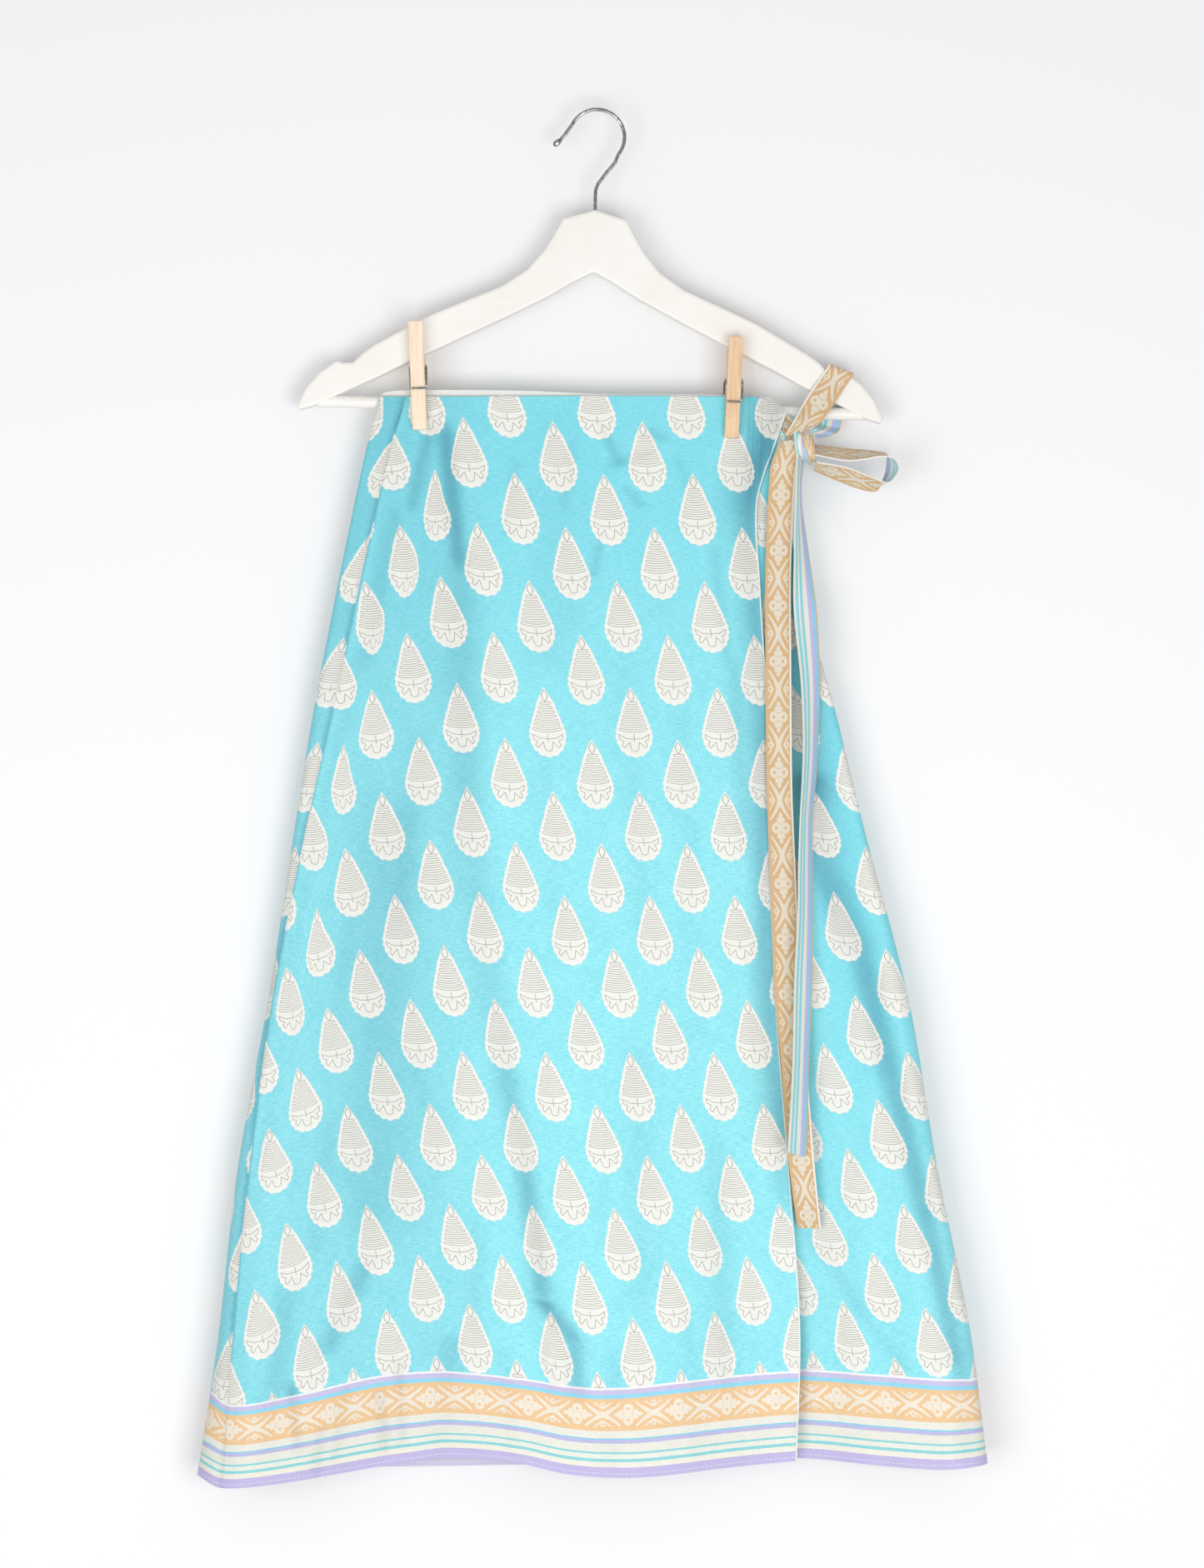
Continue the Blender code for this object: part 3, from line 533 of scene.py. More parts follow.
def makeWeaveGroup():
    tree, given, out = newGroup("Silk weave", ("Along", "Across"), (("Shade", "Float"), ("Height", "Float")))
    along, across = given["Along"], given["Across"]
    weft = streaks(tree, along, across, weaveRates["weft"])
    warp = streaks(tree, along, across, weaveRates["warp"], 7.0)
    cloud = streaks(tree, along, across, weaveRates["cloud"])
    threads = plus(tree, times(tree, weft, 0.6), times(tree, warp, 0.4))
    shade = plus(tree, times(tree, threads, 0.9), times(tree, cloud, 0.1))
    tree.links.new(shade, out["Shade"])
    crinkle = streaks(tree, along, across, weaveRates["crinkle"], 3.0, 2.0)
    height = plus(tree, times(tree, threads, 0.3), times(tree, crinkle, 0.8))
    tree.links.new(height, out["Height"])
    return tree


def shadeThreads(tree, colour, weave, least, more):
    # darkens a colour between its threads
    threads = plus(tree, least, times(tree, weave["Shade"], more))
    return blendTint(tree, 1.0, colour, join(tree, threads, threads, threads), "MULTIPLY")


# The silk's tints, and how strongly each part of the print shows
silk = {
    "ground": tint(158, 234, 243),
    "deep": tint(124, 224, 235),
    # painted light: the next tint makes the ground darker towards the waist, where less light and sheen fall
    "top": tint(112, 212, 227),
    # painted shade: the next tint darkens the ground in the folds and beside the edges, the grey after it
    # the print
    "fold": tint(30, 138, 170),
    "dim": tint(168, 170, 172),
    "leaf": tint(239, 240, 233),
    "leafInside": tint(231, 234, 226),
    "line": tint(158, 153, 144),
    "rim": tint(232, 214, 200),
    "selvage": tint(234, 236, 230),
    "thread": tint(238, 236, 246),
    "topRows": (8.0, -1.0),
    "topShare": 0.55,
    "foldMost": 0.8,
    "haloShare": 0.3,
    "insideShare": 0.45,
    "lineShare": 0.9,
    "dimShare": 0.6,
    "selvageWide": (1.2, 0.8),
    "stitchPitch": 3.6,
    "stitchLong": 2.3,
    "stitchDepth": 63.6,
    "stitchShare": 0.55,
}


def makeSilk(name, groups, faded):
    made, tree, shader = newMaterial(name, 0.56, 0.25)
    column, row = readMap(tree, "print")
    along, depth = readMap(tree, "band")
    placeX = times(tree, column, leaf["columnPitch"])
    placeY = times(tree, row, leaf["rowPitch"])
    weave = useGroup(tree, groups["weave"], Along=placeX, Across=placeY)
    motif = useGroup(tree, groups["leaf"], Column=column, Row=row)
    edging = useGroup(tree, groups["border"], Along=along, Depth=depth)
    # ground with painted shade: darker towards the waist, where less light and sheen fall, and in the folds
    ground = blendTint(tree, ease(tree, weave["Shade"], 0.36, 0.64), silk["deep"], silk["ground"])
    topShare = times(tree, ease(tree, row, *silk["topRows"]), silk["topShare"])
    ground = blendTint(tree, topShare, ground, silk["top"])
    # painted shade from the mesh's fold numbers, in the folds and beside the edges, darkens the ground
    fold = calc(tree, "MAXIMUM", calc(tree, "MINIMUM", readNumber(tree, "fold"), silk["foldMost"]), 0.0)
    ground = blendTint(tree, fold, ground, blendTint(tree, 1.0, ground, silk["fold"], "MULTIPLY"))
    # leaves
    halo = times(tree, minus(tree, motif["Halo"], motif["Shape"]), silk["haloShare"])
    printed = blendTint(tree, halo, ground, silk["rim"])
    printed = blendTint(tree, motif["Shape"], printed, silk["leaf"])
    printed = blendTint(tree, times(tree, motif["Inside"], silk["insideShare"]), printed, silk["leafInside"])
    printed = blendTint(tree, times(tree, motif["Line"], silk["lineShare"]), printed, silk["line"])
    # border, with the hem's stitches
    printed = blendTint(tree, edging["Share"], printed, edging["Colour"])
    dash = calc(tree, "FLOORED_MODULO", along, silk["stitchPitch"])
    dash = calc(tree, "LESS_THAN", dash, silk["stitchLong"])
    stitch = times(tree, dash, thinLine(tree, minus(tree, depth, silk["stitchDepth"]), 0.2, 0.4))
    printed = blendTint(tree, times(tree, stitch, silk["stitchShare"]), printed, silk["thread"])
    # the same painted shade dims the print towards grey
    printPaintedShade = times(tree, fold, silk["dimShare"])
    printed = blendTint(tree, printPaintedShade, printed, blendTint(tree, 1.0, printed, silk["dim"], "MULTIPLY"))
    onEdge = ease(tree, readNumber(tree, "edge"), *silk["selvageWide"])
    printed = blendTint(tree, onEdge, printed, silk["selvage"])
    printed = shadeThreads(tree, printed, weave, 0.72, 0.56)
    printed = blendTint(tree, faded, printed, silk["leaf"])
    tree.links.new(printed, shader.inputs["Base Color"])
    addBump(tree, shader, weave["Height"], 0.6, 0.0016)
    return made


# The ties' faces: the two halves of a border strip folded along its middle
tieTints = {
    "gold": tint(214, 177, 128),
    "vine": tint(226, 217, 198),
    "edge": tint(244, 240, 232),
    "cream": tint(236, 235, 225),
    "aqua": tint(143, 214, 224),
    "lilac": tint(196, 190, 230),
    "sky": tint(148, 205, 236),
}
# where each stripe of the striped half begins, in millimetres from its left edge
tieStripes = (
    (0.0, "cream"), (1.5, "aqua"), (4.0, "cream"), (5.5, "aqua"), (8.0, "cream"), (12.0, "lilac"),
    (15.0, "sky"), (18.2, "gold"),
)
tie = {
    "width": 19.3,
    "thick": 0.8,
    "across": 8,
    "vineFit": (0.915, 1.16),
    "edgeLine": (1.35, 1.1),
    "shortest": 10.1,
}


def startTieFace(name, groups):
    made, tree, shader = newMaterial(name, 0.6, 0.2)
    along, across = readMap(tree, "strip")
    weave = useGroup(tree, groups["weave"], Along=along, Across=across)
    addBump(tree, shader, weave["Height"], 0.4, 0.0008)
    return made, tree, shader, along, across, weave


def makeStripedFace(name, groups):
    made, tree, shader, along, across, weave = startTieFace(name, groups)
    stops = [(place / 20, tieTints[tone]) for place, tone in tieStripes]
    colour = bands(tree, over(tree, plus(tree, across, tie["width"] / 2), 20.0), stops)
    tree.links.new(shadeThreads(tree, colour, weave, 0.92, 0.14), shader.inputs["Base Color"])
    return made


def makeGoldFace(name, groups, lineSide):
    # the gold half with its vine; lineSide says which edge has the cream line
    made, tree, shader, along, across, weave = startTieFace(name, groups)
    fitAlong, fitAcross = tie["vineFit"]
    mask = useGroup(
        tree, groups["vine"], Along=times(tree, along, fitAlong), Across=times(tree, across, fitAcross)
    )["Mask"]
    colour = blendTint(tree, mask, tieTints["gold"], tieTints["vine"])
    edge = minus(tree, tie["width"] / 2, times(tree, across, float(lineSide)))
    colour = blendTint(tree, ease(tree, edge, *tie["edgeLine"]), colour, tieTints["edge"])
    tree.links.new(shadeThreads(tree, colour, weave, 0.9, 0.16), shader.inputs["Base Color"])
    return made


# The skirt's form, as its solids have it, but for a little at the left fold and the top edges
skirt = {
    "waist": -216.5,
    "hem": -1022.1,
    "pressed": -240.0,
    "hemBand": 9.5,
    "frontY": -8.75,
    "backY": -5.55,
    "frontFlare": 12.0,
    "backFlare": 16.0,
    "frontSwell": (15.0, 288.0, 13.0),
    "backSwell": (5.0, 210.0, -40.0),
    "underShare": 0.5,
    "underReturn": 60.0,
    "backTurn": 0.2,
    "underTurn": 0.15,
    "topLength": 60.0,
    "riseFrom": -780.0,
    "riseLength": 190.0,
    "tuck": (0.9, 0.8),
    "thick": 0.5,
    "hemThick": 0.8,
}
widths = {
    "height": (-1022.1, -919.2, -794.4, -669.6, -544.8, -451.2, -357.6, -295.2, -251.5, -216.5),
    "leftFold": (-300.5, -285.5, -270.2, -247.7, -228.4, -213.4, -195.3, -182.5, -172.8, -163.5),
    "leftSeam": (-280.8, -273.6, -260.9, -244.3, -220.0, -199.1, -179.1, -165.4, -155.4, -144.8),
    "overlapEdge": (150.2, 152.6, 143.8, 134.2, 129.2, 127.9, 122.4, 120.4, 133.5, 142.3),
    "underEdge": (-98, -95, -91, -87, -83, -80, -77, -75, -74, -73),
    "rightFold": (292.7, 279.6, 255.2, 234, 201.6, 178.5, 152.6, 143.4, 142.2, 142.8),
}
edgeLines = {
    "frontTop": ((-170, 0), (114, 0), (132, -4.4), (143, -12)),
    "backTop": ((-165, 2.5), (-150, 5), (-60, 5), (0, 2.5), (126, 0), (143, -10)),
    "underTop": ((-100, 0), (118, -1), (130, -5), (143, -13)),
    "frontHem": (
        (-299, -5), (-279, -12), (-142, 3), (-110, 7), (-60, 5), (-22, -1.5), (29, -3.5), (93, 0.5),
        (150, 3.8),
    ),
    "backHem": ((-299, -5), (-148, -2), (-23, -2), (60, 2), (293, 4.4)),
    "underHem": ((-100, 6), (150, 4.4), (251, 1.2), (293, 4.4)),
}
# Creases: top x and z, bottom x and z, width and depth; a positive depth is a trough
frontCreases = (
    (-128, -250, -142, -420, 9, 1.6), (-108, -262, -118, -520, 12, -1.3), (109, -262, 116, -500, 8, 1.9),
    (86, -250, 98, -560, 14, -1.6), (-30, -236, -46, -420, 16, 0.9), (-214, -610, -258, -806, 7, 2.4),
    (-66, -830, -34, -1010, 14, 2.2), (-120, -700, -150, -980, 22, -2.4), (96, -720, 112, -1000, 18, 2),
)
underCreases = (
    (176, -430, 192, -860, 13, 3.2), (206, -480, 250, -980, 16, -2.2), (210, -820, 222, -1015, 12, 1.8),
)
backCreases = (
    (-110, -240, -150, -640, 14, -1.8), (-40, -250, -60, -700, 18, 1.6), (44, -240, 62, -620, 16, -1.9),
    (104, -330, 150, -760, 14, 1.4), (-150, -700, -190, -1010, 24, 2.4), (20, -640, 10, -1010, 26, -2.6),
    (150, -720, 180, -1010, 22, 2.4),
)
# Small creases that only the looks have
frontFine = (
    (-149, -217, -159, -250, 3, 0.55), (-141, -228, -151, -262, 4, -0.5), (-75, -222, -88, -310, 6, 0.4),
    (30, -221, 38, -340, 8, 0.4), (60, -221, 72, -300, 7, -0.4), (-172, -794, -140, -925, 10, 1.1),
    (-150, -800, -105, -905, 9, -1.0), (-66, -844, -36, -990, 8, 1.1), (-205, -700, -190, -860, 12, -0.9),
    (20, -600, 26, -860, 16, -1.0), (66, -560, 74, -820, 13, 0.9), (-60, -420, -74, -660, 14, 0.8),
    (-12, -480, -8, -760, 15, 0.7), (120, -860, 128, -1000, 7, 0.8),
)
underFine = (
    (150, -560, 168, -900, 7, 0.9), (196, -620, 214, -900, 8, -0.9), (232, -760, 262, -1000, 9, 0.9),
    (160, -900, 170, -1015, 8, -0.8),
)
backFine = (
    (-70, -300, -90, -560, 9, -0.8), (10, -260, 16, -520, 10, 0.8), (84, -300, 110, -560, 9, -0.8),
    (-120, -560, -150, -860, 14, 1.1), (-30, -700, -40, -980, 16, 1.2), (80, -700, 96, -1000, 16, -1.2),
    (210, -780, 232, -1010, 12, -1.1), (-220, -760, -240, -1010, 12, -1.0),
)
# Main folds seen in the cloth: a line's two ends, its width, how far it sinks, and how much painted shade it
# gets
frontFolds = (
    (-115.4, -236, -103.6, -343, 6.5, 2.8, 0.36), (-103.6, -343, -98, -545, 13, 1.0, 0.16),
    (-98, -545, -76, -694.5, 14, 0.9, 0.12), (-76, -694.5, -56.8, -788, 9, 2.2, 0.24),
    (-56.8, -788, -41, -897, 8, 2.8, 0.34), (-41, -897, -19, -922, 9, 2.8, 0.4),
    (-19, -922, -15.6, -965, 8, 2.2, 0.3), (-158, -520, -166, -850, 26, 1.6, 0.14),
    (-170, -862, -203, -930, 8, 1.8, 0.22), (-30, -700, -24, -880, 18, -1.4, -0.05),
    (3, -236, 16, -266, 4, 0.9, 0.18), (38, -256, 12, -269, 9, 0.8, 0.15),
    (36, -240, 52, -250, 6, 0.7, 0.15), (20, -284, 36, -300, 5, 0.7, 0.12),
    (4, -318, -4, -352, 4, 0.8, 0.14), (60, -262, 72, -300, 4, -0.6, 0.08),
    (88, -330, 100, -420, 5, 0.8, 0.1), (104, -420, 112, -560, 7, 1.0, 0.1),
    (-62, -262, -66, -320, 5, 0.7, 0.1), (-20, -250, -26, -300, 4, 0.6, 0.08),
    (-126, -236, -140, -300, 5, 1.2, 0.2), (-150, -300, -176, -420, 6, 1.0, 0.12),
    (-136, -470, -150, -620, 8, 0.9, 0.08), (30, -700, 36, -900, 14, 1.2, 0.07),
    (92, -780, 100, -960, 9, 1.0, 0.07), (-232, -880, -246, -1000, 8, 1.3, 0.13),
    (-110, -930, -120, -1015, 9, 1.6, 0.14), (-66, -940, -62, -1018, 7, -1.3, 0.05),
    (14, -930, 10, -1018, 8, 1.4, 0.1), (64, -900, 70, -1016, 9, -1.1, 0.04),
    (-30, -230, -34, -420, 22, 0.3, 0.05), (20, -420, 34, -620, 9, 0.5, 0.05),
    (-40, -480, -30, -640, 7, 0.4, 0.04), (62, -440, 78, -700, 8, 0.5, 0.04),
    (-140, -700, -120, -800, 7, 0.5, 0.06), (-200, -760, -212, -860, 7, 0.6, 0.08),
    (-184, -600, -198, -700, 6, 0.6, 0.06), (-229, -950, -223, -1000, 4, 0.9, 0.34),
    (-206, -985, -211, -1020, 4, 0.8, 0.3), (-163, -965, -160, -1012, 5, 1.0, 0.36),
    (-149, -945, -147, -1008, 4, 0.8, 0.3), (-188, -960, -196, -1012, 5, 0.8, 0.2),
    (150, -985, 152, -1018, 3, 0.5, 0.2), (-90, -840, -96, -930, 7, 0.6, 0.06),
    (6, -760, 0, -860, 8, 0.5, 0.04), (118, -620, 124, -760, 6, 0.5, 0.06),
)
underFolds = (
    (152, -330, 160, -520, 18, 1.0, 0.3), (160, -500, 170, -568, 15, 2.6, 0.34),
    (170, -568, 197, -634, 12, 4.2, 0.36), (197, -634, 220, -726, 9, 4.6, 0.38),
    (220, -726, 248, -835, 9, 4.4, 0.36), (248, -835, 272, -950, 8, 3.8, 0.34),
    (272, -950, 278, -1015, 8, 2.4, 0.16), (158, -850, 230, -950, 7, 1.0, 0.1),
    (176, -700, 200, -860, 12, -2.0, -0.04), (150, -900, 152, -1010, 6, 1.2, 0.16),
)
# Gathers pressed in at the waist: where they start and end, how many, how high, and where they fade out
rightGathers = (113.5, 143.0, 5, 2.3, -330.0)
leftGathers = (-163.0, -146.0, 2, 1.6, -300.0)
pegGathers = (-127.5, -114.0, 2, 1.5, -300.0)


def smoothStep(value):
    held = np.clip(value, 0.0, 1.0)
    return held * held * (3 - 2 * held)


def blend(start, end, share):
    return start + (end - start) * share


def smoothTable(keys, values, at):
    # a smooth curve through a table with rising keys
    keys, values = np.asarray(keys, float), np.asarray(values, float)
    slopes = np.empty(len(keys))
    slopes[1:-1] = (values[2:] - values[:-2]) / (keys[2:] - keys[:-2])
    slopes[0] = (values[1] - values[0]) / (keys[1] - keys[0])
    slopes[-1] = (values[-1] - values[-2]) / (keys[-1] - keys[-2])
    at = np.clip(at, keys[0], keys[-1])
    right = np.clip(np.searchsorted(keys, at), 1, len(keys) - 1)
    left = right - 1
    span = keys[right] - keys[left]
    t = (at - keys[left]) / span
    return (
        values[left] * (2 * t**3 - 3 * t**2 + 1)
        + slopes[left] * span * (t**3 - 2 * t**2 + t)
        + values[right] * (3 * t**2 - 2 * t**3)
        + slopes[right] * span * (t**3 - t**2)
    )


def lineAt(table, x):
    return smoothTable([point[0] for point in table], [point[1] for point in table], x)


def widthAt(name, z):
    return smoothTable(widths["height"], widths[name], z)


def fall(z):
    return np.clip((skirt["pressed"] - z) / (skirt["pressed"] - skirt["hem"]), 0.0, 1.0)


def swell(x, z, numbers):
    height, length, crest = numbers
    return height * fall(z) ** 1.6 * np.cos(2 * np.pi * (x - crest) / length)


def hump(distance, width):
    # 1 at the line, fading smoothly to both sides
    return np.exp(-((distance / width) ** 2))


def creaseDepth(creases, x, z):
    total = np.zeros(np.broadcast(x, z).shape)
    for topX, topZ, bottomX, bottomZ, width, depth in creases:
        share = (z - topZ) / (bottomZ - topZ)
        middle = blend(topX, bottomX, share)
        strength = smoothStep(share / 0.3) * smoothStep((1 - share) / 0.25)
        total = total + depth * strength * hump(x - middle, width)
    return total


def foldSum(folds, part, x, z):
    # one column of a table of folds, spread smoothly round its lines
    total = np.zeros(np.broadcast(x, z).shape)
    for line in folds:
        topX, topZ, bottomX, bottomZ, width = line[:5]
        share = (z - topZ) / (bottomZ - topZ)
        strength = smoothStep(share / 0.2 + 0.5) * smoothStep((1 - share) / 0.2 + 0.5)
        middle = blend(topX, bottomX, np.clip(share, -0.1, 1.1))
        total = total + line[part] * strength * hump(x - middle, width)
    return total


def gatherRise(gather, x, z):
    start, end, count, rise, fade = gather
    spread = 1 + 0.5 * smoothStep((skirt["waist"] - z) / 120)
    middle = (start + end) / 2
    share = ((x - middle) / spread + middle - start) / (end - start)
    down = (z - skirt["waist"]) / (fade - skirt["waist"])
    strength = smoothStep(down / 0.12 + 0.35) * smoothStep((1 - down) / 0.7)
    uneven = 0.75 + 0.25 * np.sin(7.3 * share + 1.1)
    folds = 0.5 - 0.5 * np.cos(2 * np.pi * count * share)
    return np.where((share > 0) & (share < 1), rise * strength * uneven * folds, 0.0)


def frontPlain(x, z):
    seam = widthAt("leftSeam", z)
    valley = 1.6 * fall(z) ** 0.5 * hump(x - seam, 6)
    flare = skirt["frontY"] - skirt["frontFlare"] * fall(z)
    return flare - swell(x, z, skirt["frontSwell"]) + valley + creaseDepth(frontCreases, x, z)


def backPlain(x, z):
    flare = skirt["backY"] + skirt["backFlare"] * fall(z)
    press = smoothStep((skirt["pressed"] - z) / 60)
    creases = creaseDepth(backCreases + backFine, x, z)
    return flare + swell(x, z, skirt["backSwell"]) - press * creases


def underPlain(x, z):
    edge = widthAt("overlapEdge", z)
    share = skirt["underShare"] * (1 - smoothStep((x - edge) / skirt["underReturn"]))
    return blend(frontPlain(x, z), backPlain(x, z), share) + creaseDepth(underCreases, x, z)


def foldShape(distance, halfDepth, z):
    reach = np.maximum(halfDepth, 0.1) * (1 + 0.8 * fall(z))
    inside = 1 - np.clip(distance / reach, 0.0, 1.0)
    return np.sqrt(np.maximum(1 - inside * inside, 0.0))


def leftFolded(plain, x, z):
    foldX = widthAt("leftFold", z)
    front, back = frontPlain(foldX, z), backPlain(foldX, z)
    middle = (front + back) / 2
    return middle + (plain - middle) * foldShape(x - foldX, (back - front) / 2, z)


def rightFolded(plain, x, z):
    foldX = widthAt("rightFold", z)
    front, back = underPlain(foldX, z), backPlain(foldX, z)
    middle = (front + back) / 2
    return middle + (plain - middle) * foldShape(foldX - x, (back - front) / 2, z)


def hemRise(x, z, hem):
    return smoothStep((skirt["riseFrom"] - z) / skirt["riseLength"]) * lineAt(edgeLines[hem], x)


def clothHeight(x, z, top, hem):
    topShare = 1 - smoothStep((skirt["waist"] - z) / skirt["topLength"])
    return z + topShare * lineAt(edgeLines[top], x) + hemRise(x, z, hem)


def eased(share):
    # starts slowly, so that the columns stand closer near a fold
    start = 0.2
    near = share * share / (2 * start) / (1 - start / 2)
    return np.where(share < start, near, (share - start / 2) / (1 - start / 2))


def seamReach(z):
    # how far behind the right fold the seam lies
    return blend(3.0, 10.0, fall(z))


def frontSurface(u, z):
    seam = widthAt("leftSeam", z)
    edge = widthAt("overlapEdge", z)
    x = seam + (edge - seam) * u
    y = leftFolded(frontPlain(x, z), x, z) + creaseDepth(frontFine, x, z) + foldSum(frontFolds, 5, x, z)
    y = y - gatherRise(rightGathers, x, z) - gatherRise(pegGathers, x, z)
    tuckDeep, tuckWide = skirt["tuck"]
    y = y + tuckDeep * smoothStep((seam - x) / tuckWide)
    return x, y, clothHeight(x, z, "frontTop", "frontHem")


def backSurface(u, z):
    turn = skirt["backTurn"]
    foldX = widthAt("leftFold", z)
    reach = widthAt("leftSeam", z) + 0.12 - foldX
    stripX = foldX + reach * (1 - np.clip(u / turn, 0, 1)) ** 2
    stripY = leftFolded(frontPlain(stripX, z), stripX, z) - gatherRise(leftGathers, stripX, z)
    end = widthAt("rightFold", z) - seamReach(z) - 0.05
    rearX = foldX + (end - foldX) * eased(np.clip((u - turn) / (1 - turn), 0, 1))
    rearY = rightFolded(leftFolded(backPlain(rearX, z), rearX, z), rearX, z)
    x = np.where(u < turn, stripX, rearX)
    y = np.where(u < turn, stripY, rearY)
    frontShare = smoothStep((turn + 0.05 - u) / 0.1)
    rearHeight = clothHeight(x, z, "backTop", "backHem")
    return x, y, blend(rearHeight, clothHeight(x, z, "frontTop", "frontHem"), frontShare)


def underSurface(u, z):
    turn = skirt["underTurn"]
    foldX = widthAt("rightFold", z)
    rearX = foldX - (seamReach(z) - 0.05) * (1 - np.clip(u / turn, 0, 1)) ** 2
    rearY = rightFolded(backPlain(rearX, z), rearX, z)
    faceX = foldX - (foldX - widthAt("underEdge", z)) * eased(np.clip((u - turn) / (1 - turn), 0, 1))
    creased = underPlain(faceX, z) + creaseDepth(underFine, faceX, z) + foldSum(underFolds, 5, faceX, z)
    faceY = rightFolded(creased, faceX, z)
    x = np.where(u < turn, rearX, faceX)
    y = np.where(u < turn, rearY, faceY)
    return x, y, clothHeight(x, z, "underTop", "underHem")


def clothRows(count):
    # rows from waist to hem, with a step where the hem's band begins
    rows = [blend(skirt["waist"], skirt["hem"], (i / count) ** 1.12) for i in range(count)]
    foldTop = skirt["hem"] + skirt["hemBand"]
    rows = [z for z in rows if z > foldTop + 0.8] + [foldTop + 0.4, foldTop - 0.4]
    rows += [blend(foldTop - 0.4, skirt["hem"], (i + 1) / 4) for i in range(4)]
    return np.array(rows)[:, None]


def spaced(zones):
    # columns spaced evenly within each zone, which has an end and a count
    places, start = [zones[0][0]], zones[0][0]
    for end, count in zones[1:]:
        places += [blend(start, end, (i + 1) / count) for i in range(count)]
        start = end
    return np.array(places)[None, :]


def rowArc(x, y):
    # length along each row of cloth, counted from its first point
    steps = np.hypot(np.diff(x, axis=1), np.diff(y, axis=1))
    return np.concatenate([np.zeros((len(x), 1)), np.cumsum(steps, axis=1)], axis=1)


def arcAcross(x, y, anchor):
    # the same length, counted from where x meets the anchor
    arc = rowArc(x, y)
    for r in range(len(arc)):
        order = np.argsort(x[r])
        arc[r] -= np.interp(anchor[r], x[r][order], arc[r][order])
    return arc


def closeSheet(name, node, points, outwards, thick, maps, numbers, materials):
    # a thin closed shell round a grid of points, with its two faces in different materials
    tall, wide = points.shape[:2]
    along = np.gradient(points, axis=1)
    down = np.gradient(points, axis=0)
    normal = np.cross(along, down) * outwards
    normal /= np.maximum(np.linalg.norm(normal, axis=2, keepdims=True), 1e-9)
    half = thick[..., None] / 2
    outer, inner = points + normal * half, points - normal * half
    corners = np.concatenate([outer.reshape(-1, 3), inner.reshape(-1, 3)]) * 0.001
    grid = np.arange(tall * wide).reshape(tall, wide)
    a, b = grid[:-1, :-1].ravel(), grid[:-1, 1:].ravel()
    c, d = grid[1:, 1:].ravel(), grid[1:, :-1].ravel()
    face = np.stack([a, b, c, d] if outwards > 0 else [a, d, c, b], axis=1)
    lining = face[:, ::-1] + tall * wide
    rim = np.concatenate([grid[0, :], grid[1:, -1], grid[-1, -2::-1], grid[-2:0:-1, 0]])
    after = np.roll(rim, -1)
    strip = [rim, rim + tall * wide, after + tall * wide, after]
    walls = np.stack(strip if outwards > 0 else strip[::-1], axis=1)
    faces = np.concatenate([face, lining, walls])
    mesh = bpy.data.meshes.new(name)
    mesh.from_pydata(corners.tolist(), [], faces.tolist())
    order = np.empty(len(mesh.loops), np.int32)
    mesh.loops.foreach_get("vertex_index", order)
    for label, (first, second) in maps.items():
        layer = mesh.uv_layers.new(name=label)
        pairs = np.stack([np.broadcast_to(part, (tall, wide)) for part in (first, second)], axis=2)
        pairs = np.tile(pairs.reshape(-1, 2), (2, 1))
        layer.data.foreach_set("uv", pairs[order].astype(np.float32).ravel())
    for label, values in numbers.items():
        layer = mesh.attributes.new(label, "FLOAT", "POINT")
        spread = np.tile(np.broadcast_to(values, (tall, wide)).ravel(), 2)
        layer.data.foreach_set("value", spread.astype(np.float32))
    for material in materials:
        mesh.materials.append(material)
    slots = np.zeros(len(faces), np.int32)
    slots[len(face) : 2 * len(face)] = 1
    mesh.polygons.foreach_set("material_index", slots)
    mesh.shade_smooth()
    mesh.set_sharp_from_angle(angle=math.radians(50))
    made = bpy.data.objects.new(name, mesh)
    bpy.context.scene.collection.objects.link(made)
    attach(made, "root")
    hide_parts(node)
    return made


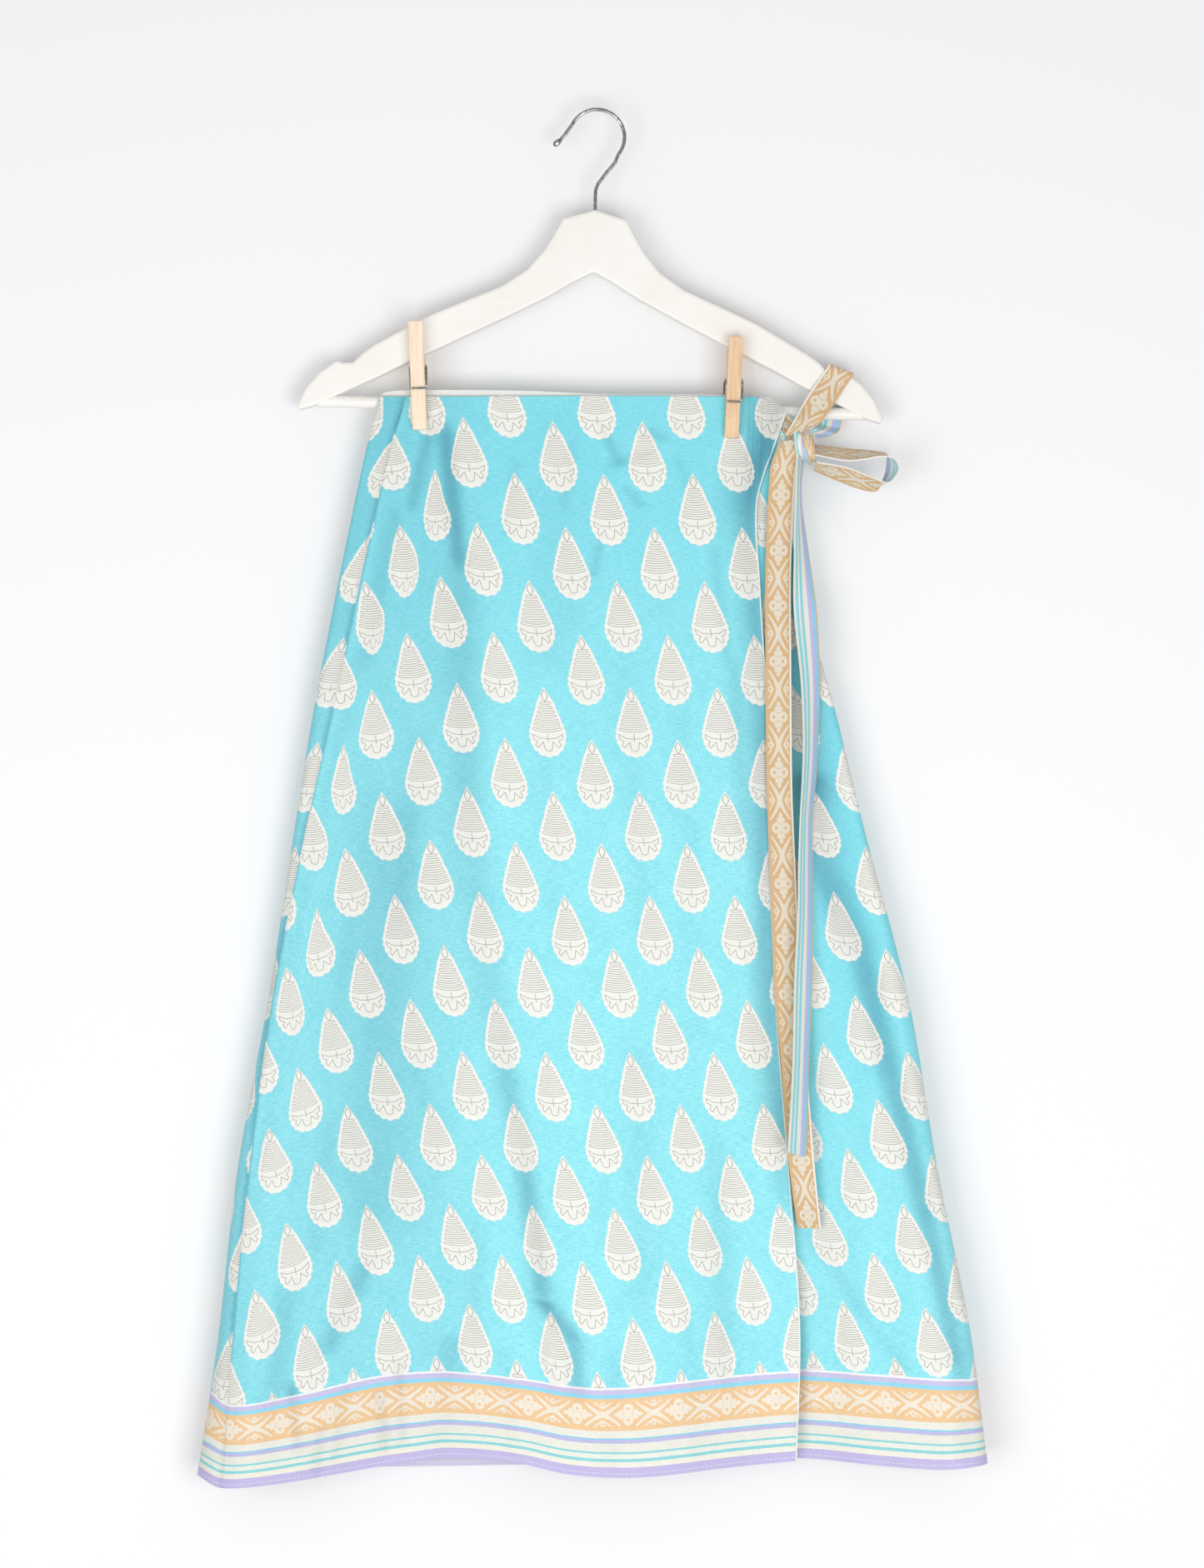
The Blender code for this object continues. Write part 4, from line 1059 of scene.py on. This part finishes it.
# Where the print lies on each panel
printPlace = {
    # height, x of the middle column, and the columns' spacing
    "frontAxis": (
        (-1040, 78, 62.6), (-979, 67.5, 62.7), (-891.1, 56.8, 62.8), (-811.8, 42.4, 63.0),
        (-734.4, 29.3, 63.3), (-658.3, 16.8, 63.7), (-579.7, 6.9, 64.2), (-500.4, -1.2, 64.8),
        (-421.8, -8.1, 65.2), (-342.6, -19.3, 66.2), (-261.5, -29.3, 67.2), (-200, -37, 67.6),
    ),
    "frontRows": (
        (-1050, 20), (-1022.1, 19.2), (-930.4, 17), (-891.1, 16), (-850.5, 15), (-773.8, 13), (-696.4, 11),
        (-617.8, 9), (-539.8, 7), (-461.8, 5), (-382.5, 3), (-301.4, 1), (-222.1, -1), (-182.8, -2),
    ),
    "underAxis": (
        (-1040, 272), (-925.4, 250.2), (-848.6, 234.6), (-771.3, 216.5), (-693.3, 199.1), (-615.3, 183.5),
        (-400, 139), (-200, 100),
    ),
    # height, how far the print moves along its rows near the left seam, how wide that zone is, and its sag
    "seamDrift": (
        (-1040, -1.5, 30, 15), (-900, -1.5, 30, 17), (-800, 0, 30, 20), (-700, 5, 30, 17), (-620, 7, 30, 14),
        (-560, 8, 30, 7), (-400, 9, 30, 2), (-345, 8, 50, 0), (-216, 7, 50, 0),
    ),
    # over what width that drift fades, and how far the sag reaches
    "driftFade": 16,
    "sagReach": 42,
    # how far the rows rise left of the middle: the rise, its place and width, the height that it
    # starts from, and over what length it grows above that
    "lift": (3.6, -108, 42, -740, 200),
    "columnShift": 1.3,
    # where the border's vine starts along each panel
    "vineStart": {"front": -15.0, "back": 9.0, "under": 6.0},
    # the strip left of the seam: the first row, the rows' spacing, and where the column lies from the fold
    "backRow": (-267.1, 39.3),
    "backColumn": (21.6, -0.052),
    # its column moves out near the waist: how far, from what height, over what length
    "backShift": (3.2, -258, 16),
    # the turned edge along the back's top shows above this height, behind the fold
    "turnedEdge": (-221.8, 1.5),
    # the under layer's first row, and the rows' spacing
    "underRow": (-615.3, 39.0),
    # how its rows slope: the height that it starts from, the length, the slope there, and the most
    "underSlope": (-950, 335, 0.13, 0.16),
}
borderTop = {
    "front": (
        (-289.5, -964.7), (-275, -972.2), (-222.8, -964.7), (-166.6, -953.5), (-127.3, -950.4), (-98, -951),
        (-60.5, -953.5), (-18.1, -958.5), (13.7, -959.1), (61.2, -955.3), (141, -950.4), (152, -950.4),
    ),
    "under": ((-100, -950), (150.4, -950.4), (182.8, -951), (288.3, -954.1), (300, -954.1)),
    "back": ((-299, -962), (-148, -956.5), (-23, -956.5), (60, -952.5), (293, -950)),
    "tall": 66.5,
}


def tableAt(table, part, z):
    return smoothTable([row[0] for row in table], [row[part] for row in table], z)


# Rows down each panel, and across it the end and the number of columns of each zone
panelGrid = {
    "front": {"rows": 232, "zones": ((-0.006,), (0.0, 2), (0.05, 10), (0.86, 106), (1.0, 34))},
    "back": {"rows": 190, "zones": ((0.0,), (skirt["backTurn"], 20), (0.3, 16), (0.94, 118), (1.0, 10))},
    "under": {"rows": 190, "zones": ((0.0,), (skirt["underTurn"], 12), (0.3, 16), (0.72, 62), (1.0, 20))},
}
# Painted shade beside the front's edges: how dark, how far in and how wide; by the overlap edge, where it
# paints the tie's shadow, also the height that it starts from, and over what length it grows above that
shadeLines = {
    "overlap": ((0.36, 5, 9, -860, 120), (0.3, 13, 15, -340, 70)),
    # the seam's thin dark line is partly the stitched seam and partly painted shade in its groove
    "seam": ((0.35, 0, 1.5), (0.1, 9, 7)),
    # painted shade over the left side of the front, where less light falls
    "leftSide": {"dark": 0.1, "from": -60, "grows": 70, "besideSeam": 30},
    # painted shade on the strip of the back panel left of the seam: by the seam, how wide that is, and all
    # over
    "strip": (0.26, 2.6, 0.16),
}
farAway = 99.0


def borderDepth(x, z, panel):
    # depth below the border's top line, with its stripes kept even down to the hem
    top = lineAt(borderTop[panel], x)
    tall = top - skirt["hem"] - lineAt(edgeLines[panel + "Hem"], x)
    return (top - z) * borderTop["tall"] / tall


def shellThickness(x, rows):
    inHem = (rows < skirt["hem"] + skirt["hemBand"]).astype(float)
    return blend(skirt["thick"], skirt["hemThick"], inHem) * np.ones_like(x)


def panelPlaces(panel, surface):
    rows = clothRows(panelGrid[panel]["rows"])
    across = spaced(panelGrid[panel]["zones"])
    x, y, z = np.broadcast_arrays(*surface(across, rows))
    return rows, across, x, y, z


def buildFront(materials):
    rows, across, x, y, z = panelPlaces("front", frontSurface)
    axis = tableAt(printPlace["frontAxis"], 1, rows[:, 0])
    pitch = tableAt(printPlace["frontAxis"], 2, rows)
    fromSeam = x - widthAt("leftSeam", rows)
    drift, zone, sag = (tableAt(printPlace["seamDrift"], part, rows) for part in (1, 2, 3))
    shifted = drift * smoothStep((zone - fromSeam) / printPlace["driftFade"])
    column = (arcAcross(x, y, axis) - shifted + printPlace["columnShift"]) / pitch
    row = tableAt(printPlace["frontRows"], 1, z - hemRise(x, rows, "frontHem"))
    rise, place, width, bottom, grows = printPlace["lift"]
    lift = rise * hump(x - place, width) * smoothStep((rows - bottom) / grows)
    sagging = sag * hump(np.maximum(fromSeam, 0), printPlace["sagReach"])
    row = row + (lift - sagging) / leaf["rowPitch"]
    along = arcAcross(x, y, np.full(len(rows), printPlace["vineStart"]["front"]))
    edge = widthAt("overlapEdge", rows) - x
    # painted shade: in the main folds, by the overlap edge for the tie's shadow, over the left side and
    # along the seam
    shade = foldSum(frontFolds, 6, x, rows)
    for dark, middle, width, bottom, fade in shadeLines["overlap"]:
        shade = shade + dark * hump(edge - middle, width) * smoothStep((rows - bottom) / fade)
    side = shadeLines["leftSide"]
    outwards = smoothStep((side["from"] - x) / side["grows"]) * smoothStep(fromSeam / side["besideSeam"])
    shade = shade + side["dark"] * outwards
    for dark, middle, width in shadeLines["seam"]:
        shade = shade + dark * hump(fromSeam - middle, width)
    return closeSheet(
        "frontPanelCloth", "front_panel", np.stack([x, y, z], axis=2), -1,
        shellThickness(x, rows), {"print": (column, row), "band": (along, borderDepth(x, z, "front"))},
        {"edge": edge, "fold": shade}, materials,
    )


def buildBack(materials):
    # its first zone is the strip that shows in front, left of the seam
    rows, across, x, y, z = panelPlaces("back", backSurface)
    turnColumn = panelGrid["back"]["zones"][1][1]
    arc = rowArc(x, y)
    arc = arc - arc[:, turnColumn : turnColumn + 1]
    firstRow, rowPitch = printPlace["backRow"]
    start, lean = printPlace["backColumn"]
    moved, bottom, grows = printPlace["backShift"]
    start = start + moved * smoothStep((rows - bottom) / grows)
    column = (-arc - start - lean * (firstRow - rows)) / leaf["columnPitch"]
    # the turned edge along its top is bare cream
    turnedTop, behindFold = printPlace["turnedEdge"]
    edge = farAway - farAway * ((rows > turnedTop) & (arc > behindFold))
    inFront = smoothStep((0.25 - across) / 0.1)
    rise = blend(hemRise(x, rows, "backHem"), hemRise(x, rows, "frontHem"), inFront)
    row = (firstRow - (z - rise)) / rowPitch
    depth = blend(borderDepth(x, z, "back"), borderDepth(x, z, "front"), inFront)
    along = arc + printPlace["vineStart"]["back"]
    # painted shade on the strip left of the seam, darkest by the seam
    strip = smoothStep((0.22 - across) / 0.04)
    toSeam = (widthAt("leftSeam", rows) - x) * strip + farAway * (1 - strip)
    bySeam, width, allOver = shadeLines["strip"]
    shade = bySeam * hump(toSeam, width) + allOver * strip
    return closeSheet(
        "backPanelCloth", "back_panel", np.stack([x, y, z], axis=2), 1,
        shellThickness(x, rows), {"print": (column, row), "band": (along, depth)},
        {"edge": edge, "fold": shade}, materials,
    )


def buildUnder(materials):
    # its first zone lies behind the right fold
    rows, across, x, y, z = panelPlaces("under", underSurface)
    turnColumn = panelGrid["under"]["zones"][1][1]
    arc = rowArc(x, y)
    axis = tableAt(printPlace["underAxis"], 1, rows[:, 0])
    for r in range(len(arc)):
        face, length = x[r, turnColumn:][::-1], arc[r, turnColumn:][::-1]
        arc[r] = np.interp(axis[r], face, length) - arc[r]
    firstRow, rowPitch = printPlace["underRow"]
    level = z - hemRise(x, rows, "underHem")
    bottom, length, gain, steepest = printPlace["underSlope"]
    slope = np.clip((level - bottom) / length * gain, 0.0, steepest)
    row = (firstRow - level - slope * (x - axis[:, None])) / rowPitch
    column, along = arc / leaf["columnPitch"], arc + printPlace["vineStart"]["under"]
    # painted shade in the under layer's main folds
    shade = foldSum(underFolds, 6, x, rows) * smoothStep((across - 0.13) / 0.02)
    return closeSheet(
        "underPanelCloth", "under_panel", np.stack([x, y, z], axis=2), 1,
        shellThickness(x, rows),
        {"print": (column, row), "band": (along, borderDepth(x, z, "under"))},
        {"edge": np.full_like(x, farAway), "fold": shade}, materials,
    )


# Ties, as seen from the front: both edges' x and z at each station, their y, and by how much
# the strip turns edge on where it looks narrow
goldTail = (
    (139.0, -250.6, 150.6, -248.8, -15.0, 0), (134.4, -258.0, 150.8, -259.4, -15.6, 0),
    (130.5, -268.0, 149.6, -270.0, -15.2, 0), (129.2, -278.3, 148.5, -278.3, -14.6, 0),
    (127.3, -312.0, 146.6, -312.0, -14.4, 0), (126.1, -351.3, 145.4, -351.3, -14.0, 0),
    (126.1, -395.0, 145.4, -395.0, -14.2, 0), (126.8, -501.1, 146.1, -501.1, -15.0, 0),
    (128.7, -552.2, 147.9, -552.2, -15.0, 0), (131.0, -605.3, 150.2, -605.3, -14.6, 0),
    (132.9, -657.1, 152.2, -657.1, -14.2, 0), (138.0, -718.8, 157.2, -718.8, -13.6, 0),
    (143.6, -791.2, 162.8, -791.2, -13.0, 0), (150.4, -841.2, 168.0, -843.0, -12.6, 1),
)
stripedTail = (
    (149.4, -264.2, 155.2, -264.4, -15.0, 1), (148.5, -293.3, 153.5, -293.3, -16.0, 1),
    (147.3, -340.7, 159.7, -340.7, -16.6, 1), (147.3, -378.8, 164.7, -378.8, -17.6, 1),
    (152.3, -430.0, 167.2, -430.0, -18.4, 1), (154.1, -471.7, 166.0, -471.7, -18.4, 1),
    (153.5, -499.8, 164.7, -499.8, -18.2, 1), (151.6, -534.8, 161.6, -534.8, -20.0, 1),
    (150.4, -569.7, 161.6, -569.7, -22.0, 1), (149.8, -605.3, 161.6, -605.3, -23.2, 1),
    (147.3, -657.1, 161.0, -657.1, -23.8, 1), (146.0, -718.8, 158.5, -718.8, -24.0, 1),
    (142.9, -776.3, 157.2, -776.3, -23.0, 1), (142.9, -783.7, 156.0, -788.1, -23.0, 1),
)
loopOverArm = (
    (141.0, -246.5, 158.0, -242.0, -17.4, 1), (149.0, -232.5, 166.2, -237.0, -14.6, 1),
    (156.0, -219.6, 172.9, -229.6, -11.0, 0), (167.2, -202.8, 184.7, -211.5, -7.4, 0),
    (173.3, -193.8, 192.1, -200.8, -6.7, 0), (174.3, -191.7, 193.0, -199.0, -4.8, 0),
    (174.7, -191.2, 193.3, -198.5, 0.0, 0), (174.3, -191.7, 193.0, -199.0, 4.8, 0),
    (173.0, -194.4, 191.8, -201.4, 6.7, 0), (170.0, -212.0, 188.5, -216.6, 7.2, 0),
    (166.6, -232.0, 184.0, -236.8, 7.2, 0), (166.0, -236.0, 182.8, -240.4, 5.6, 0),
    (164.8, -238.0, 179.0, -243.4, 0.5, 0), (162.0, -239.6, 173.5, -245.4, -5.0, 1),
    (158.6, -241.0, 166.0, -246.8, -8.5, 1),
)
loopRight = (
    (162.7, -261.4, 162.9, -252.4, -14.6, 1), (186.0, -265.8, 184.1, -255.2, -16.0, 1),
    (201.6, -264.6, 205.9, -257.1, -16.4, 1), (210.6, -262.9, 216.5, -258.8, -16.6, 1),
    (221.5, -264.0, 218.2, -262.0, -16.8, 1), (226.0, -270.5, 217.6, -268.5, -16.8, 1),
    (223.6, -277.4, 216.6, -274.6, -16.8, 1), (217.6, -282.6, 213.6, -281.6, -16.6, 1),
    (209.0, -279.6, 209.8, -287.2, -16.4, 1), (199.1, -275.4, 199.7, -286.4, -16.0, 1),
    (186.0, -270.6, 182.8, -280.2, -15.4, 1), (164.2, -267.0, 162.6, -271.4, -14.6, 1),
)
tieLead = (
    (138.6, -226.6, 138.4, -241.0, -6.9, 0), (143.4, -231.0, 142.2, -246.0, -8.9, 0),
    (148.6, -237.6, 145.8, -250.2, -10.6, 0),
)


def splineRows(stations, steps):
    # a smooth curve through the stations, with some steps between each two
    rows = []
    for i in range(len(stations) - 1):
        around = np.array([stations[max(0, min(len(stations) - 1, i + k))] for k in (-1, 0, 1, 2)], float)
        for step in range(steps):
            t = step / steps
            weights = ((-t + 2 * t**2 - t**3) / 2, (2 - 5 * t**2 + 3 * t**3) / 2)
            weights += ((t + 4 * t**2 - 3 * t**3) / 2, (t**3 - t**2) / 2)
            rows.append(sum(w * line for w, line in zip(weights, around)))
    rows.append(np.array(stations[-1], float))
    return rows


def buildTie(name, node, stations, steps, outwards, start, materials, pleats=0.0):
    lefts, rights = [], []
    for ax, az, bx, bz, y, turn in splineRows(stations, steps):
        seen = (bx - ax) ** 2 + (bz - az) ** 2
        depth = math.sqrt(max(tie["width"] ** 2 - seen, 0.0)) / 2 * turn
        lefts.append((ax, y - depth, az))
        rights.append((bx, y + depth, bz))
    lefts, rights = np.array(lefts), np.array(rights)
    share = np.linspace(0, 1, tie["across"] + 1)[None, :, None]
    points = lefts[:, None, :] * (1 - share) + rights[:, None, :] * share
    points[..., 1] += pleats * np.sin(share[..., 0] * 6 * math.pi)
    middle = (lefts + rights) / 2
    steps = np.linalg.norm(np.diff(middle, axis=0), axis=1)
    along = np.concatenate([[0.0], np.cumsum(steps)])[:, None] + start
    across = (share[..., 0] - 0.5) * tie["width"]
    thick = np.full(points.shape[:2], tie["thick"])
    made = closeSheet(
        name, node, points, outwards, thick, {"strip": (along, across)}, {}, materials
    )


# The knot: its middle's y and z; its core's place and half sizes; its two wraps, each with its
# middle at the top and bottom, its half sizes and its slant; and how the core's ends draw in
knot = {
    "middle": (-14.2, -254.6),
    "core": (153.4, -13.6, -254.6, 5.6, 3.6, 6.6),
    "striped": {
        "xTop": 153.6, "xBottom": 154.6, "halfWide": 6.2, "halfDeep": 5.2, "halfTall": 9.2, "slant": 5.0,
    },
    "gold": {
        "xTop": 157.4, "xBottom": 160.4, "halfWide": 3.9, "halfDeep": 6.4, "halfTall": 10.2, "slant": 1.5,
    },
    "flat": {"striped": (0.0148, 0.047), "gold": (0.0102, 0.052)},
    "bend": 0.0012,
    "ends": {1: (0.82, -0.0002), -1: (0.9, 0.0003)},
}


def buildWrap(name, shape, materials):
    # one turn of the strip about the knot, its two ends meeting behind
    slant = shape["slant"]
    turns = np.linspace(0.03, 2 * math.pi - 0.03, 60)[:, None]
    share = np.linspace(-1, 1, 11)[None, :]
    up = -np.cos(turns + math.pi)
    x = blend(shape["xBottom"], shape["xTop"], (up + 1) / 2) + share * shape["halfWide"]
    swelling = 1 + 0.16 * (1 - share**2) + 0.02 * np.sin(share * 9 + turns * 2)
    middleY, middleZ = knot["middle"]
    y = middleY + np.sin(turns + math.pi) * shape["halfDeep"] * swelling
    z = middleZ + up * shape["halfTall"] * (1 - 0.08 * share**2) - share * slant
    points = np.stack(np.broadcast_arrays(x, y, z), axis=2)
    along = turns * (shape["halfDeep"] + shape["halfTall"]) / 2 + slant * share
    across = share * tie["width"] / 2 + slant * 0.9 * np.sin(turns)
    thick = np.full(points.shape[:2], tie["thick"])
    return closeSheet(
        name, "tie_knot", points, -1, thick, {"strip": (along, across)}, {}, materials
    )


def drawIn(core, middle, side, narrow, lean):
    # narrows the rows above or below the knot's middle, and leans them to one side
    bpy.ops.object.mode_set(mode="EDIT")
    bpy.ops.mesh.select_mode(type="VERT")
    bpy.ops.mesh.select_all(action="DESELECT")
    bpy.ops.object.mode_set(mode="OBJECT")
    for vertex in core.data.vertices:
        vertex.select = side * (vertex.co.z - middle[2]) > knot["bend"]
    bpy.ops.object.mode_set(mode="EDIT")
    bpy.ops.transform.resize(value=(narrow, 1.0, 1.0), center_override=middle)
    bpy.ops.transform.translate(value=(lean, 0.0, 0.0))
    bpy.ops.object.mode_set(mode="OBJECT")


def buildKnot(goldFace, striped):
    bpy.ops.object.select_all(action="DESELECT")
    x, y, z, wide, deep, tall = knot["core"]
    bpy.ops.mesh.primitive_uv_sphere_add(segments=24, ring_count=16, radius=0.001, location=metres(x, y, z))
    core = bpy.context.object
    core.name = "knotCore"
    core.scale = (wide, deep, tall)
    bpy.ops.object.transform_apply(location=True, rotation=True, scale=True)
    for side, (narrow, lean) in knot["ends"].items():
        drawIn(core, metres(x, y, z), side, narrow, lean)
    core.data.materials.append(striped)
    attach(core, "root")
    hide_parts("tie_knot")
    for name, face in (("striped", striped), ("gold", goldFace)):
        wrap = buildWrap("knotWrap" + name.title(), knot[name], (face, striped))


def buildTies(groups):
    goldRight = makeGoldFace("Tie gold face, line at right", groups, 1)
    goldLeft = makeGoldFace("Tie gold face, line at left", groups, -1)
    striped = makeStripedFace("Tie striped face", groups)
    buildTie(
        "tieTailGoldCloth", "tie_tail_gold", goldTail, 8, -1, 0.0, (goldRight, striped)
    )
    buildTie(
        "tieTailStripedCloth", "tie_tail_striped", stripedTail, 8, -1, 0.0, (striped, goldLeft),
    )
    buildTie(
        "tieLoopOverArmCloth", "tie_loop_over_arm", loopOverArm, 10, 1, 12.0, (goldLeft, striped),
    )
    buildTie(
        "tieLoopRightCloth", "tie_loop_right", loopRight, 10, -1, 4.0, (goldLeft, striped)
    )
    buildTie(
        "tieLeadCloth", "tie_lead", tieLead, 10, -1, 0.0, (striped, goldLeft),
        pleats=0.9,
    )
    buildKnot(goldLeft, striped)


# Finishes of the hanger and the pegs, whose solids stay as they are
finish = {
    "paint": (tint(249, 247, 242), tint(243, 240, 233)),
    "paleWood": (tint(253, 236, 212), tint(244, 219, 188), tint(214, 178, 140)),
    "tanWood": (tint(238, 206, 170), tint(226, 186, 145), tint(190, 146, 108)),
    "wire": (tint(176, 175, 176), tint(132, 131, 133)),
}


def makeGrainGroup():
    # long streaks of wood that run up the piece, and its few dark pores
    tree, given, out = newGroup(
        "Wood grain", ("Along", "Across", "Deep"), (("Streak", "Float"), ("Pore", "Float"))
    )
    along, across, deep = given["Along"], given["Across"], given["Deep"]
    wander = grains(tree, join(tree, times(tree, along, 0.04), 5.0, deep), 1.0)
    moved = plus(tree, across, times(tree, wander, 3.0))
    streak = streaks(tree, along, moved, (0.035, 0.9), deep, 4.0, 0.6)
    pore = streaks(tree, along, across, (0.25, 3.2), deep, 2.0)
    tree.links.new(streak, out["Streak"])
    tree.links.new(ease(tree, pore, 0.66, 0.74), out["Pore"])
    return tree


def objectPlace(tree):
    # the object's own place in millimetres
    place = tree.nodes.new("ShaderNodeTexCoord").outputs["Object"]
    parts = tree.nodes.new("ShaderNodeSeparateXYZ")
    tree.links.new(vectorCalc(tree, "MULTIPLY", place, (1000.0, 1000.0, 1000.0)), parts.inputs[0])
    return parts.outputs


def makePaint(grain):
    made, tree, shader = newMaterial("White satin paint on wood", 0.42)
    x, y, z = objectPlace(tree)
    flow = useGroup(tree, grain, Along=x, Across=z, Deep=times(tree, y, 0.3))
    dusty = grains(tree, join(tree, x, y, z), 0.02, 3.0)
    share = plus(tree, times(tree, flow["Streak"], 0.4), times(tree, dusty, 0.6))
    colour = blendTint(tree, ease(tree, share, 0.3, 0.7), *finish["paint"])
    tree.links.new(colour, shader.inputs["Base Color"])
    rough = plus(tree, 0.36, times(tree, dusty, 0.14))
    tree.links.new(rough, shader.inputs["Roughness"])
    brushed = grains(tree, join(tree, x, y, z), 0.55, 2.0)
    height = plus(tree, times(tree, flow["Streak"], 0.5), times(tree, brushed, 0.5))
    addBump(tree, shader, height, 0.25, 0.0002)
    return made


def makePegWood(name, tints, grain):
    made, tree, shader = newMaterial(name, 0.62)
    x, y, z = objectPlace(tree)
    flow = useGroup(tree, grain, Along=z, Across=x, Deep=times(tree, y, 0.4))
    colour = blendTint(tree, ease(tree, flow["Streak"], 0.38, 0.66), tints[0], tints[1])
    colour = blendTint(tree, times(tree, flow["Pore"], 0.4), colour, tints[2])
    tree.links.new(colour, shader.inputs["Base Color"])
    rough = plus(tree, 0.52, times(tree, flow["Streak"], 0.2))
    tree.links.new(rough, shader.inputs["Roughness"])
    height = minus(tree, flow["Streak"], times(tree, flow["Pore"], 0.5))
    addBump(tree, shader, height, 0.4, 0.0002)
    return made


def makeWire():
    made, tree, shader = newMaterial("Polished steel wire", 0.2, metallic=1.0)
    x, y, z = objectPlace(tree)
    scuff = grains(tree, join(tree, times(tree, x, 0.5), y, times(tree, z, 0.5)), 0.8, 4.0, 0.6)
    colour = blendTint(tree, ease(tree, scuff, 0.4, 0.62), *finish["wire"])
    tree.links.new(colour, shader.inputs["Base Color"])
    tree.links.new(plus(tree, 0.14, times(tree, scuff, 0.16)), shader.inputs["Roughness"])
    addBump(tree, shader, scuff, 0.1, 0.0001)
    return made


def finishSolids():
    grain = makeGrainGroup()
    made = {
        "hanger_body": makePaint(grain),
        "peg_left": makePegWood("Pale peg wood", finish["paleWood"], grain),
        "peg_right": makePegWood("Tan peg wood", finish["tanWood"], grain),
        "wire": makeWire(),
    }
    made["hanger_bar"] = made["hanger_body"]
    for name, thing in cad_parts.items():
        key = name.replace("_front", "").replace("_back", "")
        if name.endswith(("hook", "spring")):
            key = "wire"
        if key not in made:
            continue
        if not thing.material_slots:
            thing.data.materials.append(made[key])
        for slot in thing.material_slots:
            slot.material = made[key]


def main():
    buildStudio()
    buildBackdrop()
    print("studio ready")
    groups = {"leaf": makeLeafGroup(), "vine": makeVineGroup(), "weave": makeWeaveGroup()}
    groups["border"] = makeBorderGroup(groups["vine"])
    face = makeSilk("Printed silk", groups, 0.0)
    wrong = makeSilk("Printed silk, wrong side", groups, 0.3)
    front = buildFront((face, wrong))
    back = buildBack((face, wrong))
    under = buildUnder((face, wrong))
    print("cloth panels ready")
    buildTies(groups)
    print("ties ready")
    finishSolids()
    print("hanger and pegs finished")


main()
